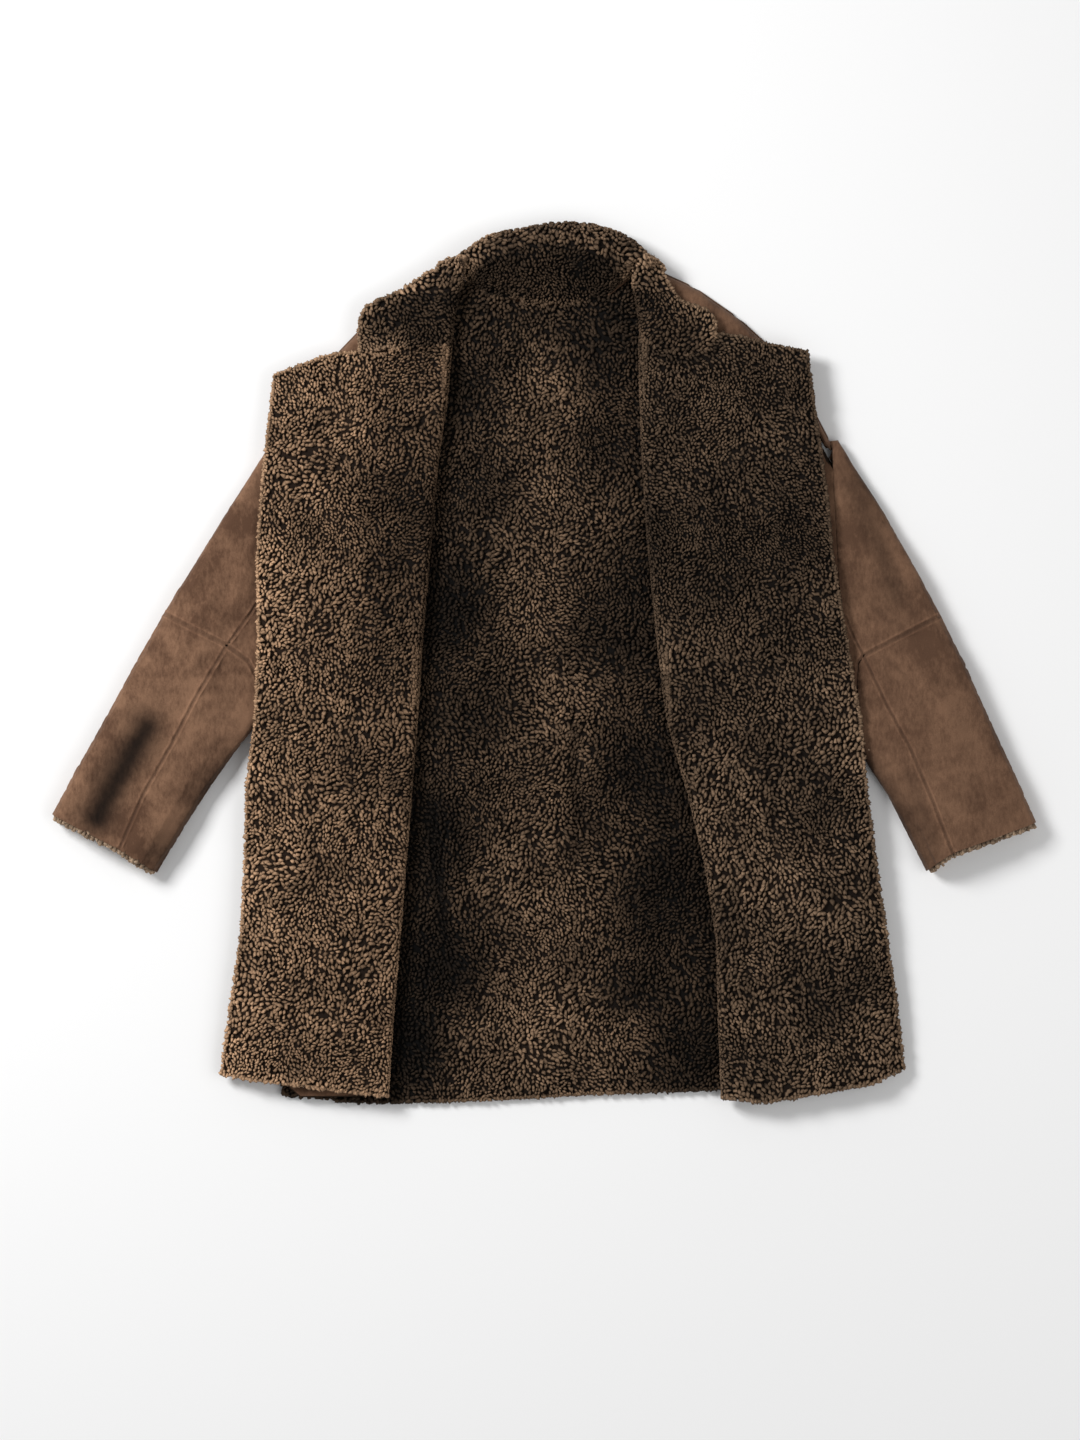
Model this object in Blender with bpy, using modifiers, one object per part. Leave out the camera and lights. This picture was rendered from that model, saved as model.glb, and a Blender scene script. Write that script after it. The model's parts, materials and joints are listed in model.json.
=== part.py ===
"""A shearling coat lying open on its back: both fronts turned back, wool up, sleeves out at the sides.

Lengths are in millimetres and MM takes them to metres. +X is to the coat's left front as it lies seen from
above, +Y is towards the collar and +Z is up from the surface that it lies on. "left" and "right" are as seen
from above, and hand is -1 on the left and +1 on the right. Each piece is a surface through the middle of its
wall, given its thickness by Solidify.
"""

import math
from collections import namedtuple

import bpy
import numpy as np

MM = 0.001

# Driving sizes
WALL = 8.0  # the skin and its wool together
GAP = 0.3  # between two pieces at a seam
SLOPE_GAP = 1.2  # from a sleeve piece to a seam where its walls slope
AIR = 0.6  # between two layers that lie on each other
TURN = 5.5  # radius of the fold of a turned-back front, at the middle of its wall
SLEEVE_RISE = 20.0  # how far a sleeve's top stands above the layer that it is sewn to
SLEEVE_RUN = 90.0  # how far from the armhole it reaches that height
SLEEVE_FLAT = 12.0  # how far from the armhole it is still flat
SLEEVE_START = 5.0  # the strip next to the armhole, which runs square to it
SLEEVE_SHOULDER = 0.62  # the height at a sleeve's long edges, as a share of that at its middle
DROOP_SPAN = 120.0  # the length below the armpit over which a free front edge starts to hang
DROOP_START = 45.0  # how far below the armpit that length starts
DROOP = 0.0034  # how fast a front hangs past the body's side, per mm squared
SLEEVE_CROWN = 1.4  # how steeply a sleeve's top rises from its long edge: above 1 it is full before the seam
SLEEVE_EDGE_IN = 12.0  # how far in from a sleeve's long edge its height there is taken
SEAM_FLAT = 3.0  # how far the collar runs level from its seam

BACK_Z = WALL / 2
FRONT_Z = BACK_Z + WALL + AIR
TURNED_Z = FRONT_Z + 2 * TURN
WRAP = FRONT_Z - BACK_Z  # radius of a front's turn round the edge of the back
WRAP_IN = WRAP + WALL / 2  # where that turn starts, in from the outline
BACK_IN = 11.3  # where the back ends inside that turn
SHOULDER_IN = 26.0  # the same at the shoulder, along the coat
LEG_END = 1.6  # how far the turn's lower edge stays off the surface
TURN_END = 20.0  # how far below the armpit that turn ends
FOLD_IN = TURN + WALL / 2  # from a front's fold line to where its lower layer ends
LONG_GAP = 1.5 * GAP  # how far a sleeve piece is drawn back from its lengthwise seam

# Where the rows of points of the lower pieces lie: their y below the armpit, and their steps from the armpit
ROWS_BELOW = (-385.0, -300.0, -215.0, -140.0)
FRONT_ARMPIT_ROWS = (-36.0, -14.0, -1.0)
BACK_ARMPIT_ROWS = (-4.0, 14.0)

Level = namedtuple("Level", "y fold edge")

# The turned-back fronts: x of the fold and of the free edge at heights from the hem up
LEVELS = {
    -1: (
        Level(-475, -171, -356),
        Level(-420, -168, -354),
        Level(-340, -161, -337),
        Level(-262, -155, -330),
        Level(-141, -145, -328),
        Level(-60, -139, -318),
        Level(18, -134, -315),
        Level(125, -125, -316),
        Level(211, -118, -309),
        Level(290, -106, -300),
        Level(348, -101, -297),
    ),
    1: (
        Level(-482, 194, 396),
        Level(-420, 190, 391),
        Level(-340, 191, 383),
        Level(-262, 185, 370),
        Level(-141, 156, 354),
        Level(-60, 133, 347),
        Level(14, 124, 334),
        Level(112, 114, 317),
        Level(198, 108, 309),
        Level(275, 104, 297),
        Level(354, 103, 289),
    ),
}
# The bottom edge of each turned-back front, from its fold to its free corner
TURNED_HEM = {
    -1: ((-171, -475), (-223, -472), (-270, -466), (-328, -459), (-356, -454)),
    1: ((194, -482), (237, -485), (303, -474), (369, -462), (396, -448)),
}
# The hem of the layer under it, from the body's side to the fold
UNDER_HEM = {
    -1: ((-299, -464), (-281, -478), (-225, -479), (-171, -477)),
    1: ((334, -470), (300, -474), (240, -477), (194, -480)),
}
# The top of each lapel, from its fold along the end of the collar to its corner
LAPEL_TOP = {
    -1: ((-101, 347), (-150, 345), (-196, 335), (-212, 343), (-250, 333), (-297, 315)),
    1: ((103, 354), (142, 337), (180, 341), (194, 361), (240, 351), (289, 341)),
}
# The outline over the shoulder, from the armhole to the neck
SHOULDER = {
    -1: ((-291, 246), (-272, 278), (-225, 342), (-195, 372), (-160, 398), (-103.6, 429)),
    1: ((316, 244), (297, 275), (244, 352), (206, 383), (170, 409), (110, 437)),
}
# The front neckline above the fold, from the fold up
NECKLINE = {-1: ((-115, 348), (-108, 392)), 1: ((117.3, 355), (115, 384))}
NECK_ARC = ((-92, 420), (-60, 402), (-20, 392), (17, 390), (55, 396), (78, 407), (97, 425))
ARMHOLE = {-1: ((-291, 246), (-290, -36)), 1: ((316, 244), (330, -60))}
SIDE_AT_HEM = {-1: -300, 1: 334}  # x of the body's side at SIDE_HEM_Y
SIDE_HEM_Y = -470
JOIN_Y = {-1: 18, 1: 14}  # the seam across each front
BACK_JOIN = ((-290.5, 12), (-100, 14), (90, 22), (326, 20))
BACK_HEM = ((-288, -477), (-225, -485), (-137, -485), (-49, -482), (60, -476), (171, -472), (323, -470))
CENTRE_SEAM = ((25, 17), (31, -79), (34, -218), (30, -478))

Ring = namedtuple("Ring", "outer seam bend inner")

# Each sleeve from the armhole to the cuff: its outer edge, its lengthwise seam, the bend and its inner edge
ELBOW = 2  # the ring that the seam across the sleeve follows
SLEEVE = {
    -1: (
        Ring((-291, 246), (-291, 98), (-290.7, 40), (-290, -36)),
        Ring((-347, 167), (-325, 52), (-304, 10), (-300, -46)),
        Ring((-419, 53), (-350, 18), (-316, -8), (-310, -58)),
        Ring((-449, 1), (-382, -37), (-352, -66), (-335, -90)),
        Ring((-481, -58), (-409, -90), (-387, -114), (-368, -137)),
        Ring((-512, -113), (-441, -147), (-418, -165), (-397, -182)),
        Ring((-542, -168), (-467, -206), (-447, -219), (-427, -232)),
    ),
    1: (
        Ring((316, 244), (325.7, 50), (327.2, 20), (330, -60)),
        Ring((371, 167), (339, 31), (335, 4), (337, -70)),
        Ring((436, 51), (352, 7), (343, -4), (347, -80)),
        Ring((464, -6), (377, -47), (365, -76), (358, -114)),
        Ring((490, -64), (402, -94), (390, -120), (380, -148)),
        Ring((516, -120), (426, -152), (412, -170), (400, -189)),
        Ring((541, -177), (448, -210), (434, -220), (421, -231)),
    ),
}

Station = namedtuple("Station", "seam roll edge sag turn")

# The collar from the end of one leaf round the neck to the other: its seam, its roll, its free edge and how
# far the middle of the leaf sags. turn is 0 where it lies open, a half where it stands and 1 where it is
# rolled under.
COLLAR = (
    Station((-114, 349), (-105, 349), (-203, 341), 3, 0),
    Station((-111, 371), (-102, 371), (-205, 364), 0, 0),
    Station((-107, 392), (-98, 392), (-196, 391), 0, 0),
    Station((-103, 409), (-94, 410), (-160, 407), 0, 0),
    Station((-100, 427), (-91, 427), (-124, 430), 0, 0.2),
    Station((-90, 428), (-88, 444), (-104, 442), 0, 0.55),
    Station((-66, 410), (-62, 466), (-66, 428), 0, 1),
    Station((-24, 397), (-24, 475), (-24, 420), 0, 1),
    Station((17, 394), (17, 481), (17, 418), 0, 1),
    Station((56, 400), (62, 477), (58, 424), 0, 1),
    Station((80, 413), (100, 459), (84, 430), 0, 0.9),
    Station((100, 435), (108, 444), (123, 441), 0, 0.5),
    Station((107, 424), (98, 424), (132, 424), 0, 0.15),
    Station((110, 404), (101, 404), (150, 397), 0, 0),
    Station((114, 384), (105, 384), (177, 388), -2, 0),
    Station((115, 368), (106, 368), (189, 371), -5, 0),
    Station((116, 356), (107, 356), (180, 344), -9, 0),
)
Profile = namedtuple("Profile", "turn seam_z stand_z roll_z fall_z edge_z stand fall")

# The collar's section as it turns: the heights of its points, and how far from the roll the stand and the
# fall start
PROFILES = (
    Profile(0.0, FRONT_Z, FRONT_Z, FRONT_Z + TURN, TURNED_Z, TURNED_Z, TURN, TURN),
    Profile(0.5, 18.0, 26.0, 38.0, 32.0, 18.0, 3.0, 8.0),
    Profile(1.0, BACK_Z, 38.0, 22.0, BACK_Z, BACK_Z, 22.0, 14.0),
)

COLOURS = {
    "wool": ((0.075, 0.045, 0.028), 0.95),
    "suede": ((0.130, 0.072, 0.046), 0.88),
}


def clear_scene():
    for thing in list(bpy.data.objects):
        bpy.data.objects.remove(thing, do_unlink=True)


def smoothstep(value):
    value = np.clip(value, 0.0, 1.0)
    return value * value * (3.0 - 2.0 * value)


def curve(points, count):
    """count points evenly along a smooth curve through points, by Catmull-Rom."""
    points = np.array(points, float)
    ends = np.vstack([2 * points[0] - points[1], points, 2 * points[-1] - points[-2]])
    steps = 12
    t = np.linspace(0.0, 1.0, steps, endpoint=False)[:, None]
    fine = []
    for a, b, c, d in zip(ends, ends[1:], ends[2:], ends[3:], strict=False):
        fine.append(b + 0.5 * t * (c - a + t * (2 * a - 5 * b + 4 * c - d + t * (3 * (b - c) + d - a))))
    fine = np.vstack(fine + [points[-1:]])
    run = np.concatenate([[0.0], np.cumsum(np.linalg.norm(np.diff(fine, axis=0), axis=1))])
    at = np.linspace(0.0, run[-1], count)
    return np.stack([np.interp(at, run, fine[:, k]) for k in range(fine.shape[1])], axis=1)


def line(start, end, count):
    return np.linspace(np.array(start, float), np.array(end, float), count)


def patch(south, north, west, east):
    """A Coons patch in plan: rows from south to north, columns from west to east."""
    u = np.linspace(0.0, 1.0, len(south))[None, :, None]
    v = np.linspace(0.0, 1.0, len(west))[:, None, None]
    corners = (
        (1 - u) * (1 - v) * south[0] + u * (1 - v) * south[-1] + (1 - u) * v * north[0] + u * v * north[-1]
    )
    return (1 - v) * south[None] + v * north[None] + (1 - u) * west[:, None] + u * east[:, None] - corners


def fold_x(hand, y):
    """x of the middle of a front's lower layer where its fold starts."""
    levels = LEVELS[hand]
    x = np.interp(y, [level.y for level in levels], [level.fold for level in levels])
    return x + hand * FOLD_IN


def edge_x(hand, y):
    levels = LEVELS[hand]
    return np.interp(y, [level.y for level in levels], [level.edge for level in levels])


def armhole_x(hand, y):
    (top_x, top_y), (low_x, low_y) = ARMHOLE[hand]
    return low_x + (top_x - low_x) * (np.asarray(y, float) - low_y) / (top_y - low_y)


def side_x(hand, y):
    """x of the body's outline below the armpit."""
    low_x, low_y = ARMHOLE[hand][1]
    return low_x + (SIDE_AT_HEM[hand] - low_x) * (low_y - np.asarray(y, float)) / (low_y - SIDE_HEM_Y)


def rise(distance):
    """How far a sleeve's top stands above the layer that it is sewn to, this far out from the armhole."""
    return SLEEVE_RISE * smoothstep((distance - SLEEVE_FLAT) / SLEEVE_RUN)


def turned_z(hand, plan):
    """Height of the middle of a turned-back front: it lies on the lower layer, is lifted by the sleeve's head
    and hangs where it passes the body's side."""
    x, y = plan[..., 0], plan[..., 1]
    armpit = ARMHOLE[hand][1][1]
    below = smoothstep((armpit - DROOP_START - y) / DROOP_SPAN)
    past_arm = np.maximum(hand * (x - armhole_x(hand, y)), 0.0)
    past_side = np.maximum(hand * (x - side_x(hand, np.minimum(y, armpit))), 0.0)
    return TURNED_Z + (1 - below) * rise(past_arm) - below * DROOP * past_side**2


def lay(plan, height):
    """Adds heights to points in plan."""
    height = np.broadcast_to(np.asarray(height, float), plan.shape[:-1])
    return np.concatenate([plan, height[..., None]], axis=-1)


def wrapped_side(hand, start, flat):
    """Columns from the body's side inwards to start: a quarter turn down round the back's edge, or straight
    out to the armhole where flat."""
    turns = [(WRAP, WRAP)] + [
        (WRAP * math.sin(a), WRAP * (1 - math.cos(a))) for a in np.radians((90.0, 60.0, 30.0))
    ]
    columns = []
    for index, (out, down) in enumerate(turns):
        drop = BACK_Z - LEG_END if index == 0 else 0.0
        straight = (WRAP_IN - GAP / 2) * (len(turns) - index) / len(turns)
        x = start[:, 0] + hand * np.where(flat, straight, out)
        z = FRONT_Z - np.where(flat, 0.0, down + drop)
        columns.append(np.stack([x, start[:, 1], z], axis=1))
    return columns


def fold_columns(hand, start):
    """Columns round the fold of a front, from its lower layer to its turned-back one."""
    columns = []
    for angle in np.radians((30.0, 60.0, 90.0, 120.0, 150.0)):
        x = start[:, 0] - hand * TURN * math.sin(angle)
        z = np.full(len(start), FRONT_Z + TURN * (1 - math.cos(angle)))
        columns.append(np.stack([x, start[:, 1], z], axis=1))
    return columns


def material(name, kind):
    colour, roughness = COLOURS[kind]
    made = bpy.data.materials.new(name)
    made.use_nodes = True
    shader = made.node_tree.nodes["Principled BSDF"]
    shader.inputs["Base Color"].default_value = (*colour, 1.0)
    shader.inputs["Roughness"].default_value = roughness
    shader.inputs["Metallic"].default_value = 0.0
    made.diffuse_color = (*colour, 1.0)
    return made


def piece(name, grid, kind, collection, even=True):
    """A walled piece from a grid of points in mm. A point that holds NaN leaves out its faces."""
    rows, columns = grid.shape[:2]
    there = ~np.isnan(grid[..., 0])
    number = np.cumsum(there).reshape(there.shape) - 1
    faces = []
    for r in range(rows - 1):
        for c in range(columns - 1):
            corners = ((r, c), (r, c + 1), (r + 1, c + 1), (r + 1, c))
            if all(there[corner] for corner in corners):
                faces.append([int(number[corner]) for corner in corners])
    mesh = bpy.data.meshes.new(name)
    mesh.from_pydata((grid[there] * MM).tolist(), [], faces)
    mesh.materials.append(material(name, kind))
    thing = bpy.data.objects.new(name, mesh)
    collection.objects.link(thing)
    wall = thing.modifiers.new("Wall", "SOLIDIFY")
    wall.thickness = WALL * MM
    wall.offset = 0.0
    wall.use_even_offset = even
    wall.use_quality_normals = True
    return thing


def front_lower(hand):
    """The lower part of a front, from the side seam over the back to its fold and out to its free edge."""
    side = "left" if hand < 0 else "right"
    join = JOIN_Y[hand] - GAP / 2
    armpit = ARMHOLE[hand][1][1]
    under_columns, turned_columns = 5, 6
    hem_side = UNDER_HEM[hand][0][1]
    at_armpit = [armpit + step for step in FRONT_ARMPIT_ROWS]
    out_y = np.array([hem_side, *ROWS_BELOW, *at_armpit, join], float)
    share = (out_y - hem_side) / (join - hem_side)
    fold_low = UNDER_HEM[hand][-1][1]
    in_y = fold_low + share * (join - fold_low)

    outer = np.stack([side_x(hand, np.minimum(out_y, armpit)) - hand * WRAP_IN, out_y], axis=1)
    outer[-1, 0] = armhole_x(hand, join) - hand * WRAP_IN
    inner = np.stack([fold_x(hand, in_y), in_y], axis=1)
    hem = curve([outer[0], *UNDER_HEM[hand][1:-1], inner[0]], under_columns)
    under = patch(hem, line(outer[-1], inner[-1], under_columns), outer, inner)
    flat = out_y > armpit - TURN_END

    edge_low = TURNED_HEM[hand][-1][1]
    free_y = edge_low + share * (join - edge_low)
    free = np.stack([edge_x(hand, free_y), free_y], axis=1)
    free[0] = TURNED_HEM[hand][-1]
    bottom = curve([inner[0], *TURNED_HEM[hand][1:]], turned_columns)
    turned = patch(bottom, line(inner[-1], free[-1], turned_columns), inner, free)

    columns = wrapped_side(hand, outer, flat)
    columns += list(np.swapaxes(lay(under, FRONT_Z), 0, 1))
    columns += fold_columns(hand, inner)
    columns += list(np.swapaxes(lay(turned, turned_z(hand, turned)), 0, 1))
    return f"front_{side}_lower", np.stack(columns, axis=1)


def front_upper(hand):
    """The upper part of a front, with its shoulder and its lapel."""
    side = "left" if hand < 0 else "right"
    join = JOIN_Y[hand] + GAP / 2
    lapel_rows, neck_rows = 6, 3
    under_columns, turned_columns = 6, 9
    fold_top = LAPEL_TOP[hand][0][1] - AIR
    shoulder = np.array(SHOULDER[hand], float) - (0, WRAP_IN)
    shoulder[0, 0] -= hand * GAP / 2

    arm_y = np.linspace(join, shoulder[0, 1], lapel_rows + neck_rows + 1)
    outer = np.stack([armhole_x(hand, arm_y) - hand * GAP / 2, arm_y], axis=1)
    outer[-1] = shoulder[0]
    fold_y = np.linspace(join, fold_top, lapel_rows + 1)
    fold = np.stack([fold_x(hand, fold_y), fold_y], axis=1)
    inner = np.vstack([fold, NECKLINE[hand], shoulder[-1:]])
    join_line = line(outer[0], inner[0], under_columns)
    under = patch(join_line, curve(shoulder, under_columns), outer, inner)
    cloth = lay(under, FRONT_Z)
    cloth[-1, 0, 0] -= hand * SLEEVE_START
    turns = np.radians((30, 60, 90))
    over = [cloth[-1] + (0, WRAP * math.sin(a), WRAP * (math.cos(a) - 1)) for a in turns]
    over.append(over[-1] - (0, 0, BACK_Z - LEG_END))
    cloth = np.vstack([cloth, np.stack(over)])

    free_y = np.linspace(join, LAPEL_TOP[hand][-1][1], lapel_rows + 1)
    free = np.stack([edge_x(hand, free_y), free_y], axis=1)
    free[-1] = LAPEL_TOP[hand][-1]
    top = curve([fold[-1], *LAPEL_TOP[hand][1:]], turned_columns)
    turned = patch(line(fold[0], free[0], turned_columns), top, fold, free)

    columns = fold_columns(hand, fold) + list(np.swapaxes(lay(turned, turned_z(hand, turned)), 0, 1))
    folded = np.stack(columns, axis=1)
    missing = np.full((len(cloth) - len(folded), *folded.shape[1:]), np.nan)
    return f"front_{side}_upper", np.hstack([cloth, np.vstack([folded, missing])])


def back_edge(hand, y):
    """x of the back's side edge: at the armhole above the armpit, and inside the front's turn below it."""
    armpit = ARMHOLE[hand][1][1]
    inside = side_x(hand, y) - hand * BACK_IN
    return np.where(np.asarray(y) > armpit, armhole_x(hand, y) - hand * GAP / 2, inside)


def nearest_x(points, x):
    """The index of the point whose x is nearest."""
    return int(np.argmin(np.abs(points[:, 0] - x)))


def back_upper():
    rows = 7
    shoulder_columns, neck_columns = 5, 7
    join = curve(BACK_JOIN, 2 * shoulder_columns + neck_columns) + (0, GAP / 2)
    edges = []
    for hand, start in ((-1, join[0]), (1, join[-1])):
        top = ARMHOLE[hand][0][1] - SHOULDER_IN
        y = np.linspace(start[1], top, rows)
        edges.append(np.stack([armhole_x(hand, y) - hand * GAP / 2, y], axis=1))
    west, east = edges
    join[0], join[-1] = west[0], east[0]
    left = np.array(SHOULDER[-1], float) - (0, SHOULDER_IN)
    right = np.array(SHOULDER[1], float) - (0, SHOULDER_IN)
    left[0], right[0] = west[-1], east[-1]
    left_top, right_top = (curve(points[:-1], shoulder_columns) for points in (left, right))
    top = np.vstack([left_top, curve(NECK_ARC, neck_columns), right_top[::-1]])
    return "back_upper", lay(patch(join, top, west, east), BACK_Z)


def back_lower(hand):
    side = "left" if hand < 0 else "right"
    armpit = ARMHOLE[hand][1][1]
    across, down, columns = 41, 9, 7
    join = curve(BACK_JOIN, across) - (0, GAP / 2)
    hem = curve(BACK_HEM, across)
    seam = curve(CENTRE_SEAM, down) + (hand * GAP / 2, 0)
    hem_middle = nearest_x(hem, seam[-1, 0])
    join_middle = nearest_x(join, seam[0, 0])
    low = hem[: hem_middle + 1] if hand < 0 else hem[hem_middle:][::-1]
    high = join[: join_middle + 1] if hand < 0 else join[join_middle:][::-1]
    at_armpit = [armpit + step for step in BACK_ARMPIT_ROWS]
    out_y = np.array([low[0, 1], *ROWS_BELOW, *at_armpit, high[0, 1]], float)
    outer = np.stack([back_edge(hand, out_y), out_y], axis=1)
    share = (out_y - out_y[0]) / (out_y[-1] - out_y[0])
    inner_y = seam[-1, 1] + share * (seam[0, 1] - seam[-1, 1])
    inner = np.stack([np.interp(inner_y, seam[::-1, 1], seam[::-1, 0]), inner_y], axis=1)
    inner[0, 1] = low[-1, 1]
    inner[-1, 1] = high[-1, 1]
    south = curve([outer[0], *low[2:-2:3], inner[0]], columns)
    north = curve([outer[-1], *high[2:-2:3], inner[-1]], columns)
    return f"back_lower_{side}", lay(patch(south, north, outer, inner), BACK_Z)


def sleeve_rings(hand):
    """The rings of a sleeve, with one more just out from the armhole."""
    rings = [np.array(ring, float) for ring in SLEEVE[hand]]
    rings[0] = rings[0] + (hand * GAP / 2, 0)
    return [rings[0], rings[0] + (hand * SLEEVE_START, 0), *rings[1:]]


def sleeve_height(hand, plan, share):
    """Height of the middle of the top wall. share is 0 at a sleeve's long edges and 1 at its middle."""
    out = np.maximum(hand * (plan[..., 0] - armhole_x(hand, plan[..., 1])), 0.0)
    full = SLEEVE_SHOULDER + (1 - SLEEVE_SHOULDER) * np.sin(share * math.pi / 2)
    return FRONT_Z + rise(out) * full


def half_ring(hand, ring, outer):
    """The points of one ring from the lengthwise seam over the top, round one long edge and back beneath."""
    outer_edge, seam, bend, inner_edge = ring
    way = [seam, outer_edge] if outer else [seam, bend, inner_edge]
    edge_point = way[-1]
    inwards = way[-2] - edge_point
    inwards /= np.linalg.norm(inwards)
    edge_z = float(sleeve_height(hand, edge_point + SLEEVE_EDGE_IN * inwards, 0.0))
    radius = (edge_z - BACK_Z) / 2
    centre = edge_point + (radius + WALL / 2) * inwards
    stops = [*way[:-1], centre]
    across = 4
    path = np.vstack([line(a, b, across)[:-1] for a, b in zip(stops, stops[1:], strict=False)])
    if not outer:
        path = path[::2]
    share = np.minimum(1.0, SLEEVE_CROWN * (1.0 - np.arange(len(path)) / len(path)))
    top = [(*p, float(sleeve_height(hand, p, s))) for p, s in zip(path, share, strict=True)]
    round_edge = [
        (*(centre - radius * math.sin(a) * inwards), BACK_Z + radius * (1 + math.cos(a)))
        for a in np.radians((0, 45, 90, 135, 180))
    ]
    bottom = [(*p, BACK_Z) for p in path[::-1]]
    return top + round_edge + bottom


def sleeve_pieces(hand):
    side = "left" if hand < 0 else "right"
    rings = sleeve_rings(hand)
    elbow = ELBOW + 1
    for part, chosen in (("upper", rings[: elbow + 1]), ("lower", rings[elbow:])):
        for edge in ("outer", "inner"):
            grid = np.array([half_ring(hand, ring, edge == "outer") for ring in chosen])
            draw_back(grid, part)
            yield f"sleeve_{side}_{part}_{edge}", grid


def draw_back(grid, part):
    """Draws a sleeve piece back from its seams, so that it stands a gap away from its neighbours."""
    row, step = (-1, -2) if part == "upper" else (0, 1)
    along = grid[step, :, :2] - grid[row, :, :2]
    grid[row, :, :2] += along / np.linalg.norm(along, axis=1)[:, None] * SLOPE_GAP
    for column, towards in ((0, 1), (-1, -2)):
        across = grid[:, towards, :2] - grid[:, column, :2]
        grid[:, column, :2] += across / np.linalg.norm(across, axis=1)[:, None] * LONG_GAP


def blend_profile(turn):
    values = np.array(PROFILES)
    return Profile(turn, *(np.interp(turn, values[:, 0], values[:, k]) for k in range(1, values.shape[1])))


def collar_section(station):
    """One section of the collar, from its seam over the roll to its free edge."""
    stand_points, fall_points = 6, 9
    profile = blend_profile(station.turn)
    seam, roll, edge = (np.array(p, float) for p in (station.seam, station.roll, station.edge))

    def from_roll(towards, distance):
        way = towards - roll
        return roll + way * distance / np.linalg.norm(way)

    knots = [
        (*seam, profile.seam_z),
        (*from_roll(seam, profile.stand), profile.stand_z),
        (*roll, profile.roll_z),
        (*from_roll(edge, profile.fall), profile.fall_z),
        (*edge, profile.edge_z),
    ]
    knots = np.array(knots)
    level = min(1.0, SEAM_FLAT / math.dist(seam, knots[1][:2]))
    start = knots[0] + (knots[1] - knots[0]) * (1, 1, 0) * level
    stand = curve([start, *knots[1:3]], stand_points)
    points = np.vstack([knots[:1], stand[:-1], curve(knots[2:], fall_points)])
    points[:, 2] = np.maximum(points[:, 2], BACK_Z)
    fall = points[stand_points:]
    reach = np.linalg.norm(fall[:, :2] - roll, axis=1) / math.dist(roll, edge)
    fall[:, 1] += station.sag * np.sin(np.clip(reach, 0, 1) * math.pi) ** 2
    return points


def doubled(sections):
    """The sections with one more halfway between each two, by Catmull-Rom."""
    ends = np.concatenate([2 * sections[:1] - sections[1:2], sections, 2 * sections[-1:] - sections[-2:-1]])
    middle = (9 * (ends[1:-2] + ends[2:-1]) - ends[:-3] - ends[3:]) / 16
    made = np.empty((2 * len(sections) - 1, *sections.shape[1:]))
    made[::2], made[1::2] = sections, middle
    made[1::2, :, 2] = (sections[1:, :, 2] + sections[:-1, :, 2]) / 2
    return made


def collar():
    return "collar", doubled(np.array([collar_section(station) for station in COLLAR]))


def build():
    clear_scene()
    coat = bpy.data.collections.new("shearling_coat")
    bpy.context.scene.collection.children.link(coat)
    made = [back_upper(), back_lower(-1), back_lower(1)]
    for hand in (-1, 1):
        made += [front_lower(hand), front_upper(hand)]
    for name, grid in made:
        piece(name, grid, "wool", coat)
    piece(*collar(), "wool", coat, even=False)
    for hand in (-1, 1):
        for name, grid in sleeve_pieces(hand):
            piece(name, grid, "suede", coat)


build()
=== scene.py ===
"""The looks of a shearling coat that lies open on its back: curly wool, suede, seams and creases.

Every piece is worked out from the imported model's walls. One side of a wall is its suede and the other its
wool. The suede is a thin skin, and the wool is a dark pile with curls rooted in it. Lengths are in metres,
written as a number of MM, but the places in the tables below are in mm. Left and right are as seen from
above: +X is to the right, +Y to the collar and +Z up.
"""

import json
import math
from collections import namedtuple

import bmesh
import bpy
import numpy as np
from bpy.props import FloatProperty, FloatVectorProperty, PointerProperty
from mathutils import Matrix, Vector
from mathutils.bvhtree import BVHTree
from mathutils.kdtree import KDTree

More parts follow.
